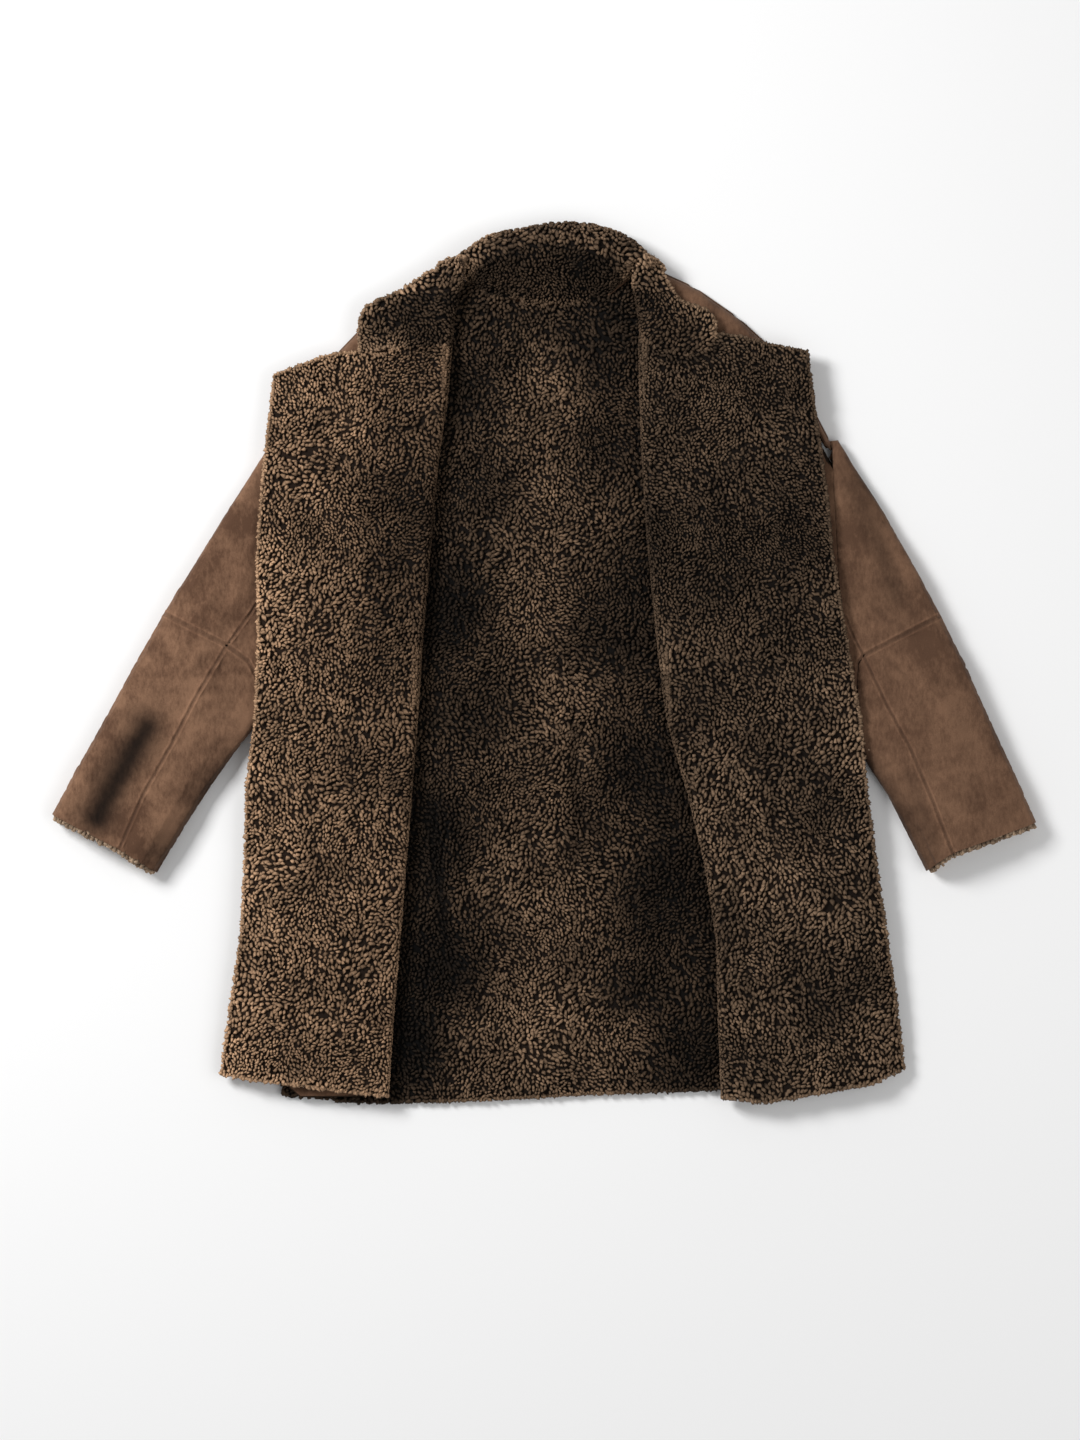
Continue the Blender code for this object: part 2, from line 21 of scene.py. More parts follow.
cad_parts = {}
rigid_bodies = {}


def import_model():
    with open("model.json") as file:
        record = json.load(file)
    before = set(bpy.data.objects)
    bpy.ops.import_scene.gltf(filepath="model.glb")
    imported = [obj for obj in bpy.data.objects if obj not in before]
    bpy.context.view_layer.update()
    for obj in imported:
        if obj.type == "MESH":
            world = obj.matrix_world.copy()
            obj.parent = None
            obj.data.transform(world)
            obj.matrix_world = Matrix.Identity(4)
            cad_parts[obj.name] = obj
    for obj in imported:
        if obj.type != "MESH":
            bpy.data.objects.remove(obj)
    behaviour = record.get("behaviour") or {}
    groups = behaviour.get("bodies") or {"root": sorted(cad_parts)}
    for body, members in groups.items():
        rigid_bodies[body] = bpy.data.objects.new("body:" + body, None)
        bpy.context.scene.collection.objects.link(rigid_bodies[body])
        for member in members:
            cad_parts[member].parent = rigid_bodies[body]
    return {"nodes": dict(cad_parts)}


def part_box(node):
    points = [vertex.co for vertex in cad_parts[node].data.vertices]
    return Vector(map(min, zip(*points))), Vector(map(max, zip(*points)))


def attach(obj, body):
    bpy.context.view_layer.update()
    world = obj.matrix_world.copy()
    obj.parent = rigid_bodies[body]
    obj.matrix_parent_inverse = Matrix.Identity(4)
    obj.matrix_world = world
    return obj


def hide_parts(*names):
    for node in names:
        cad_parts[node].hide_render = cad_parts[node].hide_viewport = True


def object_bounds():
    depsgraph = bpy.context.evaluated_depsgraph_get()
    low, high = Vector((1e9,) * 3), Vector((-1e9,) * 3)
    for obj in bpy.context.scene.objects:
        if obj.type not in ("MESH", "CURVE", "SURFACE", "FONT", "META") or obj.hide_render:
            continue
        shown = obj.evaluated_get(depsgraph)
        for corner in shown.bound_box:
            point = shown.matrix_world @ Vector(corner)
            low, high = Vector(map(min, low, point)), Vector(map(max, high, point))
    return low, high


bl_info = {
    "name": "Shearling coat",
    "version": (1, 0, 0),
    "blender": (4, 5, 0),
    "location": "View3D > Sidebar > Coat",
    "description": "Builds the wool, the suede and the stage of a shearling coat laid flat",
    "category": "Object",
}

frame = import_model()
CAD_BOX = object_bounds()

MM = 0.001
STEEP = 0.75  # a surface is on a fold where the upward part of its direction is less than this
UP = np.array((0.0, 0.0, 1.0))

BACK_PIECES = ("back_upper", "back_lower_left", "back_lower_right")
FRONT_PIECES = ("front_left_upper", "front_left_lower", "front_right_upper", "front_right_lower")
SLEEVE_PIECES = tuple(
    f"sleeve_{hand}_{part}_{panel}"
    for hand in ("left", "right")
    for part in ("upper", "lower")
    for panel in ("outer", "inner")
)

# Each sheet's cut: width and length of the rectangle that it comes from, the share of it that is used, how
# it is held and what it rests on
Cut = namedtuple("Cut", "width length share held rests_on")
CUTS = {
    "back_upper": Cut(0.60, 0.45, 0.77, "laid", ()),
    "back_lower_left": Cut(0.33, 0.50, 0.94, "laid", ()),
    "back_lower_right": Cut(0.31, 0.50, 0.92, "laid", ()),
    "front_left_upper": Cut(0.39, 0.42, 0.72, "folded", ("back_upper",)),
    "front_left_lower": Cut(0.36, 0.49, 0.88, "folded", ("back_lower_left",)),
    "front_right_upper": Cut(0.44, 0.43, 0.74, "folded", ("back_upper",)),
    "front_right_lower": Cut(0.41, 0.48, 0.90, "folded", ("back_lower_right",)),
    "collar": Cut(0.49, 0.11, 0.76, "folded", ("back_upper", "front_left_upper", "front_right_upper")),
    "sleeve_left_upper_outer": Cut(0.21, 0.21, 0.76, "folded", ()),
    "sleeve_left_upper_inner": Cut(0.13, 0.11, 0.62, "folded", ()),
    "sleeve_left_lower_outer": Cut(0.19, 0.26, 0.88, "folded", ()),
    "sleeve_left_lower_inner": Cut(0.16, 0.26, 0.78, "folded", ()),
    "sleeve_right_upper_outer": Cut(0.20, 0.20, 0.84, "folded", ()),
    "sleeve_right_upper_inner": Cut(0.11, 0.08, 0.65, "folded", ()),
    "sleeve_right_lower_outer": Cut(0.22, 0.26, 0.88, "folded", ()),
    "sleeve_right_lower_inner": Cut(0.11, 0.25, 0.79, "folded", ()),
}

# How light the wool is, as a share of the fleece's tip colour: x and y of a place in mm, and the share there.
# The shares hold the wool's own tone and the cuffs' paler wool, and also painted light and shade: painted
# shadow on the back beside the turned-back fronts and in the collar's stand, and the left front painted
# lighter than the right, partly painted light and partly its nap.
WOOL_TONE_AND_PAINTED_LIGHT = {
    "back": (
        (-100, 300, 0.11), (0, 300, 0.62), (0, 180, 0.60), (60, 230, 0.21), (60, 350, 0.12),
        (130, 260, 0.15), (-110, 60, 0.05), (-60, 190, 0.20), (-60, -50, 0.17), (-60, 345, 0.20),
        (0, 60, 0.60), (5, -40, 0.56), (0, -120, 0.46), (60, 40, 0.11), (125, 60, 0.12),
        (-115, -200, 0.07), (-115, -340, 0.04), (-145, -420, 0.02), (-30, -220, 0.55),
        (20, -260, 0.62), (70, -200, 0.30), (125, -240, 0.06), (108, -120, 0.08), (108, -350, 0.14),
        (-70, -430, 0.60), (0, -400, 0.85), (70, -420, 0.60), (150, -430, 0.10),
    ),
    "left": (
        (-290, 280, 1.05), (-230, 280, 1.05), (-150, 260, 0.46), (-300, 60, 1.30), (-235, 60, 0.80),
        (-160, 60, 0.30), (-152, 160, 0.16), (-190, 155, 0.32), (-235, 155, 1.00),
        (-310, -200, 1.25), (-245, -200, 0.92), (-190, -200, 0.88), (-152, -130, 0.50),
        (-320, -430, 1.30), (-250, -430, 0.90), (-190, -430, 0.95),
    ),
    "right": (
        (140, 280, 0.34), (220, 280, 0.36), (275, 280, 0.34), (150, 110, 0.22), (165, 20, 0.40),
        (230, 80, 0.25), (300, 60, 0.38), (270, 110, 0.22), (205, -150, 0.66), (175, -60, 0.30),
        (172, -110, 0.48), (250, -60, 0.42), (262, -110, 0.32), (338, -100, 0.76),
        (298, -150, 0.28), (205, -290, 0.38), (250, -250, 0.76), (340, -250, 0.54),
        (300, -380, 0.20), (220, -430, 0.48), (256, -390, 0.56), (340, -430, 0.62),
    ),
    "cuff": (
        (-480, -200, 1.70), (480, -200, 1.50),
    ),
    "collar": (
        (-190, 360, 0.36), (-130, 390, 0.17), (-60, 440, 0.13), (-62, 394, 0.06), (0, 445, 0.18),
        (0, 405, 0.17), (60, 440, 0.09), (62, 394, 0.07), (120, 400, 0.25), (170, 360, 0.33),
    ),
}

# The collar's roll, seen from above: the middle of its arc and the radius at which it starts, in mm
NECK_CENTRE = (2.0, 344.0)
ROLL_START = 113.0
# Painted highlight on the collar's roll: the share of the tip colour that the roll's wool is blended towards,
# lighter than the painted shade in its stand.
ROLL_PAINTED_HIGHLIGHT = 0.42

# Painted highlight along free edges: how much lighter the wool is painted there, as a share of its tone
EDGE_LIGHT = {"back": 0.10, "left": 0.25, "right": 0.20, "collar": 1.7}

# Creases and pressed places: where each runs, its half width and height, all in mm, and how much darker it is
# at its middle. That darkness is painted light: painted shade in troughs and seams, painted shadow where an
# edge lies over the piece, painted highlight on ridges where it is below zero, and on the sleeves partly the
# suede's darker nap. Their order matters, because it seeds how each one wanders.
Crease = namedtuple("Crease", "pieces way width height dark")
CREASES = (
    Crease("sleeve_left", ((-425, -50), (-460, -112), (-504, -194)), 22, -2.8, 0.92),
    Crease("sleeve_left", ((-455, -40), (-520, -150)), 9, 1.2, -0.10),
    # Painted shade along the sleeve's inner edge, where it turns down.
    Crease("sleeve_left", ((-326, -92), (-372, -150), (-432, -236)), 17, 0.0, 0.62),
    # Painted shadow of the left front's free edge, which lies over the sleeve here.
    Crease("sleeve_left", ((-306, 232), (-312, 120), (-322, 40)), 8, -1.0, 0.22),
    Crease("sleeve_left", ((-400, 50), (-374, 27)), 2.2, 1.0, -0.12),
    Crease("sleeve_left", ((-390, 60), (-365, 33)), 2.0, -0.8, 0.22),
    Crease("sleeve_left", ((-372, 62), (-356, 30)), 2.2, 0.9, -0.10),
    Crease("sleeve_left", ((-352, 8), (-362, -30)), 2.6, -0.9, 0.16),
    Crease("sleeve_left", ((-344, 60), (-334, 120)), 7, 1.0, -0.14),
    Crease("sleeve_right", ((340, 222), (362, 150), (394, 52)), 17, -2.2, 0.42),
    Crease("sleeve_right", ((352, 190), (410, 84)), 8, 1.0, -0.10),
    # Painted shade along the sleeve's inner edge, where it turns down.
    Crease("sleeve_right", ((350, -96), (392, -176), (424, -240)), 15, 0.0, 0.50),
    Crease("sleeve_right", ((398, -112), (432, -214)), 11, -1.2, 0.26),
    Crease("sleeve_right", ((354, 44), (382, 29)), 2.2, 1.0, -0.12),
    Crease("sleeve_right", ((358, 62), (396, 34)), 2.2, -0.9, 0.20),
    Crease("sleeve_right", ((380, 62), (408, 42)), 2.4, 0.9, -0.10),
    Crease("sleeve_right", ((372, 8), (402, -22)), 2.2, -0.8, 0.18),
    Crease("sleeve_right", ((360, -2), (378, -34)), 2.2, 0.8, -0.08),
    Crease("front_right_upper", ((150, 420), (143, 400)), 2.4, -1.3, 0.25),
    Crease("front_right_upper", ((171, 410), (164, 388)), 2.6, 1.2, -0.10),
    Crease("front_right_upper", ((192, 396), (181, 376)), 2.2, -1.2, 0.25),
    Crease("front_right_upper", ((213, 379), (200, 362)), 2.6, 1.1, -0.10),
    Crease("front_right_upper", ((230, 364), (218, 348)), 2.2, -1.1, 0.22),
    Crease("back_lower_left", ((-126, -152), (-118, -229), (-109, -295), (-104, -322)), 9, -2.4, 0.70),
    Crease("back_lower_left", ((-105, -173), (-102, -240), (-95, -282), (-80, -358)), 9, 1.6, -0.35),
    Crease("back_lower", ((34, -76), (36, -150), (34, -222)), 10, -0.9, 0.28),
    Crease("back_lower", ((8, -60), (9, -150), (8, -230)), 8, 1.1, -0.22),
    Crease("back", ((-120, 14), (140, 22)), 3.5, -0.9, 0.30),
    Crease("back_lower", ((25, 17), (31, -79), (34, -218), (30, -478)), 3.5, -0.9, 0.32),
    Crease("front_left", ((-318, 17), (-236, 13), (-136, 18)), 3.5, -0.8, 0.20),
    Crease("front_right", ((124, 14), (230, 10), (336, 14)), 3.5, -0.8, 0.20),
    # Painted shadow under the right collar leaf, on the lapel below it.
    Crease(
        "front_right_upper",
        ((110, 350), (129, 336), (146, 331), (166, 333), (184, 338), (194, 358)),
        5,
        -0.4,
        0.55,
    ),
    # Painted shadow under the left collar leaf, on the lapel below it.
    Crease(
        "front_left_upper",
        ((-106, 344), (-134, 346), (-162, 337), (-181, 328), (-208, 343)),
        5,
        -0.4,
        0.35,
    ),
    Crease("front_left_lower", ((-262, -60), (-254, -170), (-258, -250)), 6, -1.2, 0.24),
    Crease("front_left_lower", ((-205, -250), (-212, -330), (-204, -400)), 6, -1.1, 0.20),
    Crease("front_right_lower", ((246, -110), (252, -190), (247, -268)), 6, -1.3, 0.30),
    Crease("front_right_lower", ((306, -150), (318, -230), (322, -300)), 6, -1.1, 0.20),
    Crease("front_right_lower", ((216, -260), (222, -330), (230, -420)), 6, -1.1, 0.20),
)


# ---------------------------------------------------------------- the coat's own settings


class FleeceSettings(bpy.types.PropertyGroup):
    length: FloatProperty(
        name="Curl length",
        description="Length of one curl of wool",
        default=5.0 * MM,
        min=2 * MM,
        unit="LENGTH",
    )
    width: FloatProperty(
        name="Curl width",
        description="Width of one curl at its middle",
        default=2.9 * MM,
        min=0.5 * MM,
        unit="LENGTH",
    )
    spacing: FloatProperty(
        name="Curl spacing",
        description="Least distance between the roots of two curls",
        default=3.05 * MM,
        min=2 * MM,
        unit="LENGTH",
    )
    pile: FloatProperty(
        name="Pile depth",
        description="How far the dark pile lies below the curls",
        default=3.0 * MM,
        min=1 * MM,
        unit="LENGTH",
    )
    clump: FloatProperty(
        name="Clump size",
        description="Distance between the middles of two clumps of curls",
        default=8.0 * MM,
        min=3 * MM,
        unit="LENGTH",
    )
    tip_colour: FloatVectorProperty(
        name="Tip colour",
        description="Colour of the lightest curls",
        default=(0.322, 0.205, 0.125),
        min=0.0,
        max=1.0,
        subtype="COLOR",
    )
    # The root colour also stands for the painted shade between the curls.
    root_and_gap_shade_colour: FloatVectorProperty(
        name="Root colour",
        description="Colour of the wool between the curls",
        default=(0.013, 0.007, 0.004),
        min=0.0,
        max=1.0,
        subtype="COLOR",
    )


class SuedeSettings(bpy.types.PropertyGroup):
    thickness: FloatProperty(
        name="Thickness",
        description="Thickness of the skin without its wool",
        default=1.5 * MM,
        min=0.5 * MM,
        unit="LENGTH",
    )
    ridge: FloatProperty(
        name="Seam ridge",
        description="Height of the ridge beside a sleeve seam",
        default=0.8 * MM,
        min=0.0,
        unit="LENGTH",
    )
    colour: FloatVectorProperty(
        name="Suede colour",
        description="Colour of the suede where its nap lies flat",
        default=(0.172, 0.094, 0.056),
        min=0.0,
        max=1.0,
        subtype="COLOR",
    )
    dark_colour: FloatVectorProperty(
        name="Dark nap colour",
        description="Colour of the suede where its nap is brushed up",
        default=(0.058, 0.028, 0.016),
        min=0.0,
        max=1.0,
        subtype="COLOR",
    )


class StageSettings(bpy.types.PropertyGroup):
    camera_height: FloatProperty(
        name="Camera height",
        description="Height of the camera above the floor",
        default=6.0,
        min=1.0,
        unit="LENGTH",
    )
    window_light: FloatProperty(
        name="Window light",
        description="Power of the large soft light",
        default=130.0,
        min=0.0,
        subtype="POWER",
    )
    floor_colour: FloatVectorProperty(
        name="Floor colour",
        description="Colour of the plain floor",
        default=(0.86, 0.86, 0.86),
        min=0.0,
        max=1.0,
        subtype="COLOR",
    )


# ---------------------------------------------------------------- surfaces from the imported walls

Surface = namedtuple("Surface", "points tris normals")


def welded_wall(node):
    """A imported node's mesh with the corners of its faces joined."""
    wall = bmesh.new()
    wall.from_mesh(frame["nodes"][node].data)
    bmesh.ops.remove_doubles(wall, verts=wall.verts, dist=0.001 * MM)
    wall.normal_update()
    wall.faces.ensure_lookup_table()
    return wall


def broad_faces(wall):
    """The faces that have the other side of the wall right behind them, and those that it runs askew to."""
    tree = BVHTree.FromBMesh(wall)
    nearest = 0.3 * MM
    thickest = 12.5 * MM
    least_opposed = 0.68
    found, askew = set(), set()
    for face in wall.faces:
        start = face.calc_center_median() - nearest * face.normal
        _, facing, _, distance = tree.ray_cast(start, -face.normal)
        if distance is None or distance > thickest:
            continue
        found.add(face)
        if facing.dot(face.normal) > -least_opposed:
            askew.add(face)
    return found, askew


def rim_faces(wall, askew, sharpest=math.radians(75), flattest=math.radians(20)):
    """The faces of the wall's rims: each meets a side at a corner, and no side lies square behind it."""
    turns = {face: max(edge.calc_face_angle(math.pi) for edge in face.edges) for face in wall.faces}
    cornered = {face for face, turn in turns.items() if turn > sharpest}
    rims = [face for face in wall.faces if face in cornered and face in askew]
    found = set(rims)
    for face in rims:
        for edge in face.edges:
            if edge.calc_face_angle(math.pi) > flattest:
                continue
            for other in edge.link_faces:
                if other in cornered and other not in found:
                    found.add(other)
                    rims.append(other)
    return found


def joined_faces(faces, sharpest=math.radians(82)):
    """Groups of faces that meet without a corner between them, the largest group first."""
    groups = []
    waiting = sorted(faces, key=lambda face: face.index)
    seen = set()
    for seed in waiting:
        if seed in seen:
            continue
        seen.add(seed)
        group = [seed]
        for face in group:
            for edge in face.edges:
                if edge.calc_face_angle(math.pi) > sharpest:
                    continue
                for other in edge.link_faces:
                    if other in faces and other not in seen:
                        seen.add(other)
                        group.append(other)
        groups.append(group)
    return sorted(groups, key=lambda group: -sum(face.calc_area() for face in group))


def faces_from_tube(faces, hand):
    """A sleeve piece's faces that look away from the middle of the tube, and those that look into it."""
    tree = sleeve_trees[hand]
    away, into = [], []
    for face in faces:
        middle = face.calc_center_median()
        above = tree.ray_cast(Vector((middle.x, middle.y, 1.0)), Vector((0, 0, -1)))[0]
        half_height = (above.z if above else 0.0) / 2
        centre = sleeve_centre(hand, middle)
        offset = Vector((middle.x - centre.x, middle.y - centre.y, 0)) * 0.12
        offset.z = middle.z - half_height
        (away if face.normal.dot(offset) > 0 else into).append(face)
    return away, into


def with_missed_faces(wall, first, second, barred, flattest=math.radians(45)):
    """Both sides with the faces that were left out but run smoothly on from them, apart from barred ones."""
    side_of = {face: 0 for face in first} | {face: 1 for face in second}
    grown = True
    while grown:
        grown = False
        for edge in wall.edges:
            one, other = edge.link_faces
            if (one in side_of) == (other in side_of) or edge.calc_face_angle(math.pi) > flattest:
                continue
            known, missed = (one, other) if one in side_of else (other, one)
            if missed in barred:
                continue
            side_of[missed] = side_of[known]
            grown = True
    return [[face for face in wall.faces if side_of.get(face) == side] for side in (0, 1)]


def wall_sides(node):
    """A node's wall, its suede faces and its wool faces."""
    wall = welded_wall(node)
    broad, askew = broad_faces(wall)
    rims = set()
    if node.startswith("sleeve"):
        suede, wool = faces_from_tube(broad, node.split("_")[1])
    else:
        suede, wool = joined_faces(broad)[:2]
        if max(v.co.z for f in suede for v in f.verts) > max(v.co.z for f in wool for v in f.verts):
            suede, wool = wool, suede
        rims = rim_faces(wall, askew)
        suede, wool = ([face for face in side if face not in rims] for side in (suede, wool))
    suede, wool = with_missed_faces(wall, suede, wool, rims)
    return wall, suede, wool


def halve_long_edges(points, tris, longest_at):
    """Halves triangles at their longest edges until none is longer than longest_at allows there."""
    while True:
        ends = np.sort(tris[:, [[0, 1], [1, 2], [2, 0]]], axis=2)
        keys, edge_of = np.unique(ends[..., 0] * len(points) + ends[..., 1], return_inverse=True)
        edge_of = edge_of.reshape(-1, 3)
        first, second = keys // len(points), keys % len(points)
        length = np.linalg.norm(points[first] - points[second], axis=1)
        longest = length[edge_of].argmax(axis=1)
        longest_edge = edge_of[np.arange(len(tris)), longest]
        too_long = length > longest_at((points[first] + points[second]) / 2, length)
        cut = np.zeros(len(keys), bool)
        cut[longest_edge[too_long[longest_edge]]] = True
        if not cut.any():
            return points, tris
        while not cut[longest_edge[cut[edge_of].any(axis=1)]].all():
            cut[longest_edge[cut[edge_of].any(axis=1)]] = True
        turn = (longest[:, None] + np.arange(3)) % 3
        tris = np.take_along_axis(tris, turn, axis=1)
        edge_of = np.take_along_axis(edge_of, turn, axis=1)
        middle = np.full(len(keys), -1)
        middle[cut] = len(points) + np.arange(cut.sum())
        points = np.vstack((points, (points[first[cut]] + points[second[cut]]) / 2))
        a, b, c = tris.T
        m, p, q = middle[edge_of].T
        whole, left, right = m < 0, (m >= 0) & (q < 0), (m >= 0) & (p < 0)
        left_cut, right_cut = (m >= 0) & (q >= 0), (m >= 0) & (p >= 0)
        tris = np.vstack(
            (
                tris[whole],
                np.stack((a, m, c), 1)[left],
                np.stack((a, m, q), 1)[left_cut],
                np.stack((m, c, q), 1)[left_cut],
                np.stack((m, b, c), 1)[right],
                np.stack((m, b, p), 1)[right_cut],
                np.stack((m, p, c), 1)[right_cut],
            )
        )


def edges_of(tris, count):
    """Each edge once, as two columns of points, and whether only one triangle has it."""
    ends = np.sort(np.vstack((tris[:, [0, 1]], tris[:, [1, 2]], tris[:, [2, 0]])), axis=1)
    keys, uses = np.unique(ends[:, 0] * count + ends[:, 1], return_counts=True)
    return np.stack((keys // count, keys % count), 1), uses == 1


def eased(points, tris, rounds):
    """The surface with its facets rounded off. Its border stays, and points move only across the surface."""
    edges, single = edges_of(tris, len(points))
    border = np.unique(edges[single])
    degree = np.bincount(edges.ravel(), minlength=len(points)).astype(float)
    degree[degree == 0] = 1
    held = points[border].copy()
    normals = point_normals(points, tris)
    inward, outward = 0.55, -0.57
    for step in range(2 * rounds):
        total = np.zeros_like(points)
        np.add.at(total, edges[:, 0], points[edges[:, 1]])
        np.add.at(total, edges[:, 1], points[edges[:, 0]])
        pull = inward if step % 2 == 0 else outward
        offset = total / degree[:, None] - points
        points = points + pull * (offset * normals).sum(axis=1, keepdims=True) * normals
        points[border] = held
    return points


def point_normals(points, tris):
    """The surface's direction at each point, from the triangles round it."""
    corners = points[tris]
    facing = np.cross(corners[:, 1] - corners[:, 0], corners[:, 2] - corners[:, 0])
    total = np.zeros_like(points)
    for corner in range(3):
        np.add.at(total, tris[:, corner], facing)
    return total / np.maximum(np.linalg.norm(total, axis=1, keepdims=True), 1e-12)


def side_surface(faces, grain, rounds, seam_grain=None, node=None):
    """One side of a wall by itself, in triangles no longer than grain, with its facets rounded off.

    seam_grain makes the triangles smaller along the seams that join a node to others, where it faces up."""
    number = {}
    corners = []
    for face in faces:
        loop = [number.setdefault(vertex.index, len(number)) for vertex in face.verts]
        corners += [(loop[0], loop[i], loop[i + 1]) for i in range(1, len(loop) - 1)]
    at = {vertex.index: vertex.co[:] for face in faces for vertex in face.verts}
    points = np.array([at[index] for index in number], float)
    points, tris = halve_long_edges(points, np.array(corners), lambda middles, lengths: grain)
    points = eased(points, tris, rounds)
    if seam_grain:
        border = border_of(node, Surface(points, tris, point_normals(points, tris)))
        sewn = border.middle[~border.free & (border.normal[:, 2] > 0.1)]
        band = 4 * MM

        def longest_at(middles, lengths):
            limit = np.full(len(middles), grain)
            long = lengths > seam_grain
            beyond = distance_to(sewn, middles[long]) / band - 1
            limit[long] = seam_grain + (grain - seam_grain) * np.clip(beyond, 0, 1)
            return limit

        points, tris = halve_long_edges(points, tris, longest_at)
    return Surface(points, tris, point_normals(points, tris))


def tree_of_points(points):
    """A search tree of points."""
    tree = KDTree(len(points))
    for i, point in enumerate(points):
        tree.insert(point, i)
    tree.balance()
    return tree


def sewn_together(node, surface):
    """The surface with its border drawn to the next piece wherever a seam joins them."""
    edges, single = edges_of(surface.tris, len(surface.points))
    reach = 5 * MM
    neck_reach = 17 * MM
    overlap = 0.7
    points = surface.points.copy()
    neck_ends = 403 * MM
    from_neck = np.linalg.norm(points[:, :2] / MM - NECK_CENTRE, axis=1)
    at_neck = (from_neck < ROLL_START + 12) & (points[:, 1] > neck_ends)
    at_neck &= node in ("back_upper", "collar")
    for i in np.unique(edges[single]):
        here = neck_reach if at_neck[i] else reach
        nearest = other_trees[node].find_nearest(Vector(points[i]), here)[0]
        if nearest is not None:
            points[i] += overlap * (np.array(nearest) - points[i])
    return Surface(points, surface.tris, surface.normals)


def tree_of(nodes):
    """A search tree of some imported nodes."""
    points, tris = [], []
    for node in nodes:
        mesh = frame["nodes"][node].data
        start = len(points)
        points += [vertex.co[:] for vertex in mesh.vertices]
        mesh.calc_loop_triangles()
        tris += [tuple(start + index for index in tri.vertices) for tri in mesh.loop_triangles]
    return BVHTree.FromPolygons(points, tris)


coat_tree = tree_of(sorted(frame["nodes"]))
sleeve_trees = {
    hand: tree_of([node for node in SLEEVE_PIECES if hand in node]) for hand in ("left", "right")
}
other_trees = {
    node: tree_of([other for other in sorted(frame["nodes"]) if other != node]) for node in frame["nodes"]
}


def sleeve_centre(hand, point):
    """The nearest point to a point, seen from above, on the line through the middle of a sleeve."""
    low, high = map(box_middle, (f"sleeve_{hand}_lower_outer", f"sleeve_{hand}_upper_outer"))
    along = (high - low).normalized()
    away = Vector((point.x, point.y, 0)) - low
    return low + along * away.dot(along)


def box_middle(node):
    """The middle of a node's box, seen from above."""
    low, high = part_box(node)
    middle = (low + high) / 2
    return Vector((middle.x, middle.y, 0))


def open_above(surface):
    """Which points of a surface can be seen from above or from one side."""
    looks = [(0, 0, 1), (1.2, 0, 1), (-1.2, 0, 1), (0, 1.2, 1), (0, -1.2, 1)]
    looks = [Vector(look).normalized() for look in looks]
    clear = 60 * MM
    lift = 0.8 * MM
    seen = np.zeros(len(surface.points), bool)
    for i, (point, normal) in enumerate(zip(surface.points, surface.normals)):
        if normal[2] < -0.35:
            continue
        start = Vector(point + lift * normal)
        facing = Vector(normal)
        for look in looks:
            if look.dot(facing) > 0.05 and coat_tree.ray_cast(start, look, clear)[0] is None:
                seen[i] = True
                break
    return seen


Border = namedtuple("Border", "ends middle along outward normal free length")


def border_of(node, surface):
    """The border edges of one side of a wall: their middles, outward directions and whether they are free."""
    edges, single = edges_of(surface.tris, len(surface.points))
    rim = edges[single]
    keys = {tuple(edge) for edge in rim.tolist()}
    opposite = {}
    for tri in surface.tris.tolist():
        for i in range(3):
            key = tuple(sorted((tri[i], tri[(i + 1) % 3])))
            if key in keys:
                opposite[key] = tri[(i + 2) % 3]
    inner = surface.points[[opposite[tuple(edge)] for edge in rim.tolist()]]
    middle = surface.points[rim].mean(axis=1)
    along = unit(surface.points[rim[:, 1]] - surface.points[rim[:, 0]])
    outward = middle - inner
    outward = unit(outward - (outward * along).sum(axis=1, keepdims=True) * along)
    normal = unit(surface.normals[rim].mean(axis=1))
    seam_gap = 3.2 * MM
    free = np.array([other_trees[node].find_nearest(Vector(at), seam_gap)[0] is None for at in middle])
    length = np.linalg.norm(surface.points[rim[:, 1]] - surface.points[rim[:, 0]], axis=1)
    return Border(rim, middle, along, outward, normal, free, length)


def unit(vectors):
    """Vectors made one long."""
    return vectors / np.maximum(np.linalg.norm(vectors, axis=-1, keepdims=True), 1e-12)


# ---------------------------------------------------------------- creases


def off_the_way(points, way):
    """How far each point is from a crease's way as seen from above, in mm, and its share of the way along."""
    place = points[:, :2] / MM
    away = np.full(len(points), np.inf)
    along = np.zeros(len(points))
    stops = np.array(way, float)
    runs = np.linalg.norm(np.diff(stops, axis=0), axis=1)
    before = np.concatenate([[0.0], np.cumsum(runs)])
    for start, step, run, done in zip(stops[:-1], np.diff(stops, axis=0), runs, before):
        share = np.clip((place - start) @ step / run**2, 0, 1)
        distance = np.linalg.norm(place - start - share[:, None] * step, axis=1)
        nearer = distance < away
        away[nearer] = distance[nearer]
        along[nearer] = (done + share[nearer] * run) / before[-1]
    return away, along


def creased(node, points, wander=0.18):
    """How high the creases of a piece lift each point, in metres, and the painted shade and highlight that
    they give it, as a share of its lightness.
    """
    lift = np.zeros(len(points))
    light = np.ones(len(points))
    for number, crease in enumerate(CREASES):
        if not node.startswith(crease.pieces):
            continue
        away, along = off_the_way(points, crease.way)
        width = crease.width * (1 + wander * drift(points, 60 * MM, 500 + number))
        strength = np.exp(-((away / width) ** 2)) * np.clip(np.sin(math.pi * along) * 1.8 + 0.25, 0, 1)
        lift += crease.height * MM * strength
        light *= 1 - crease.dark * strength
    return lift, light


# ---------------------------------------------------------------- chance, always the same


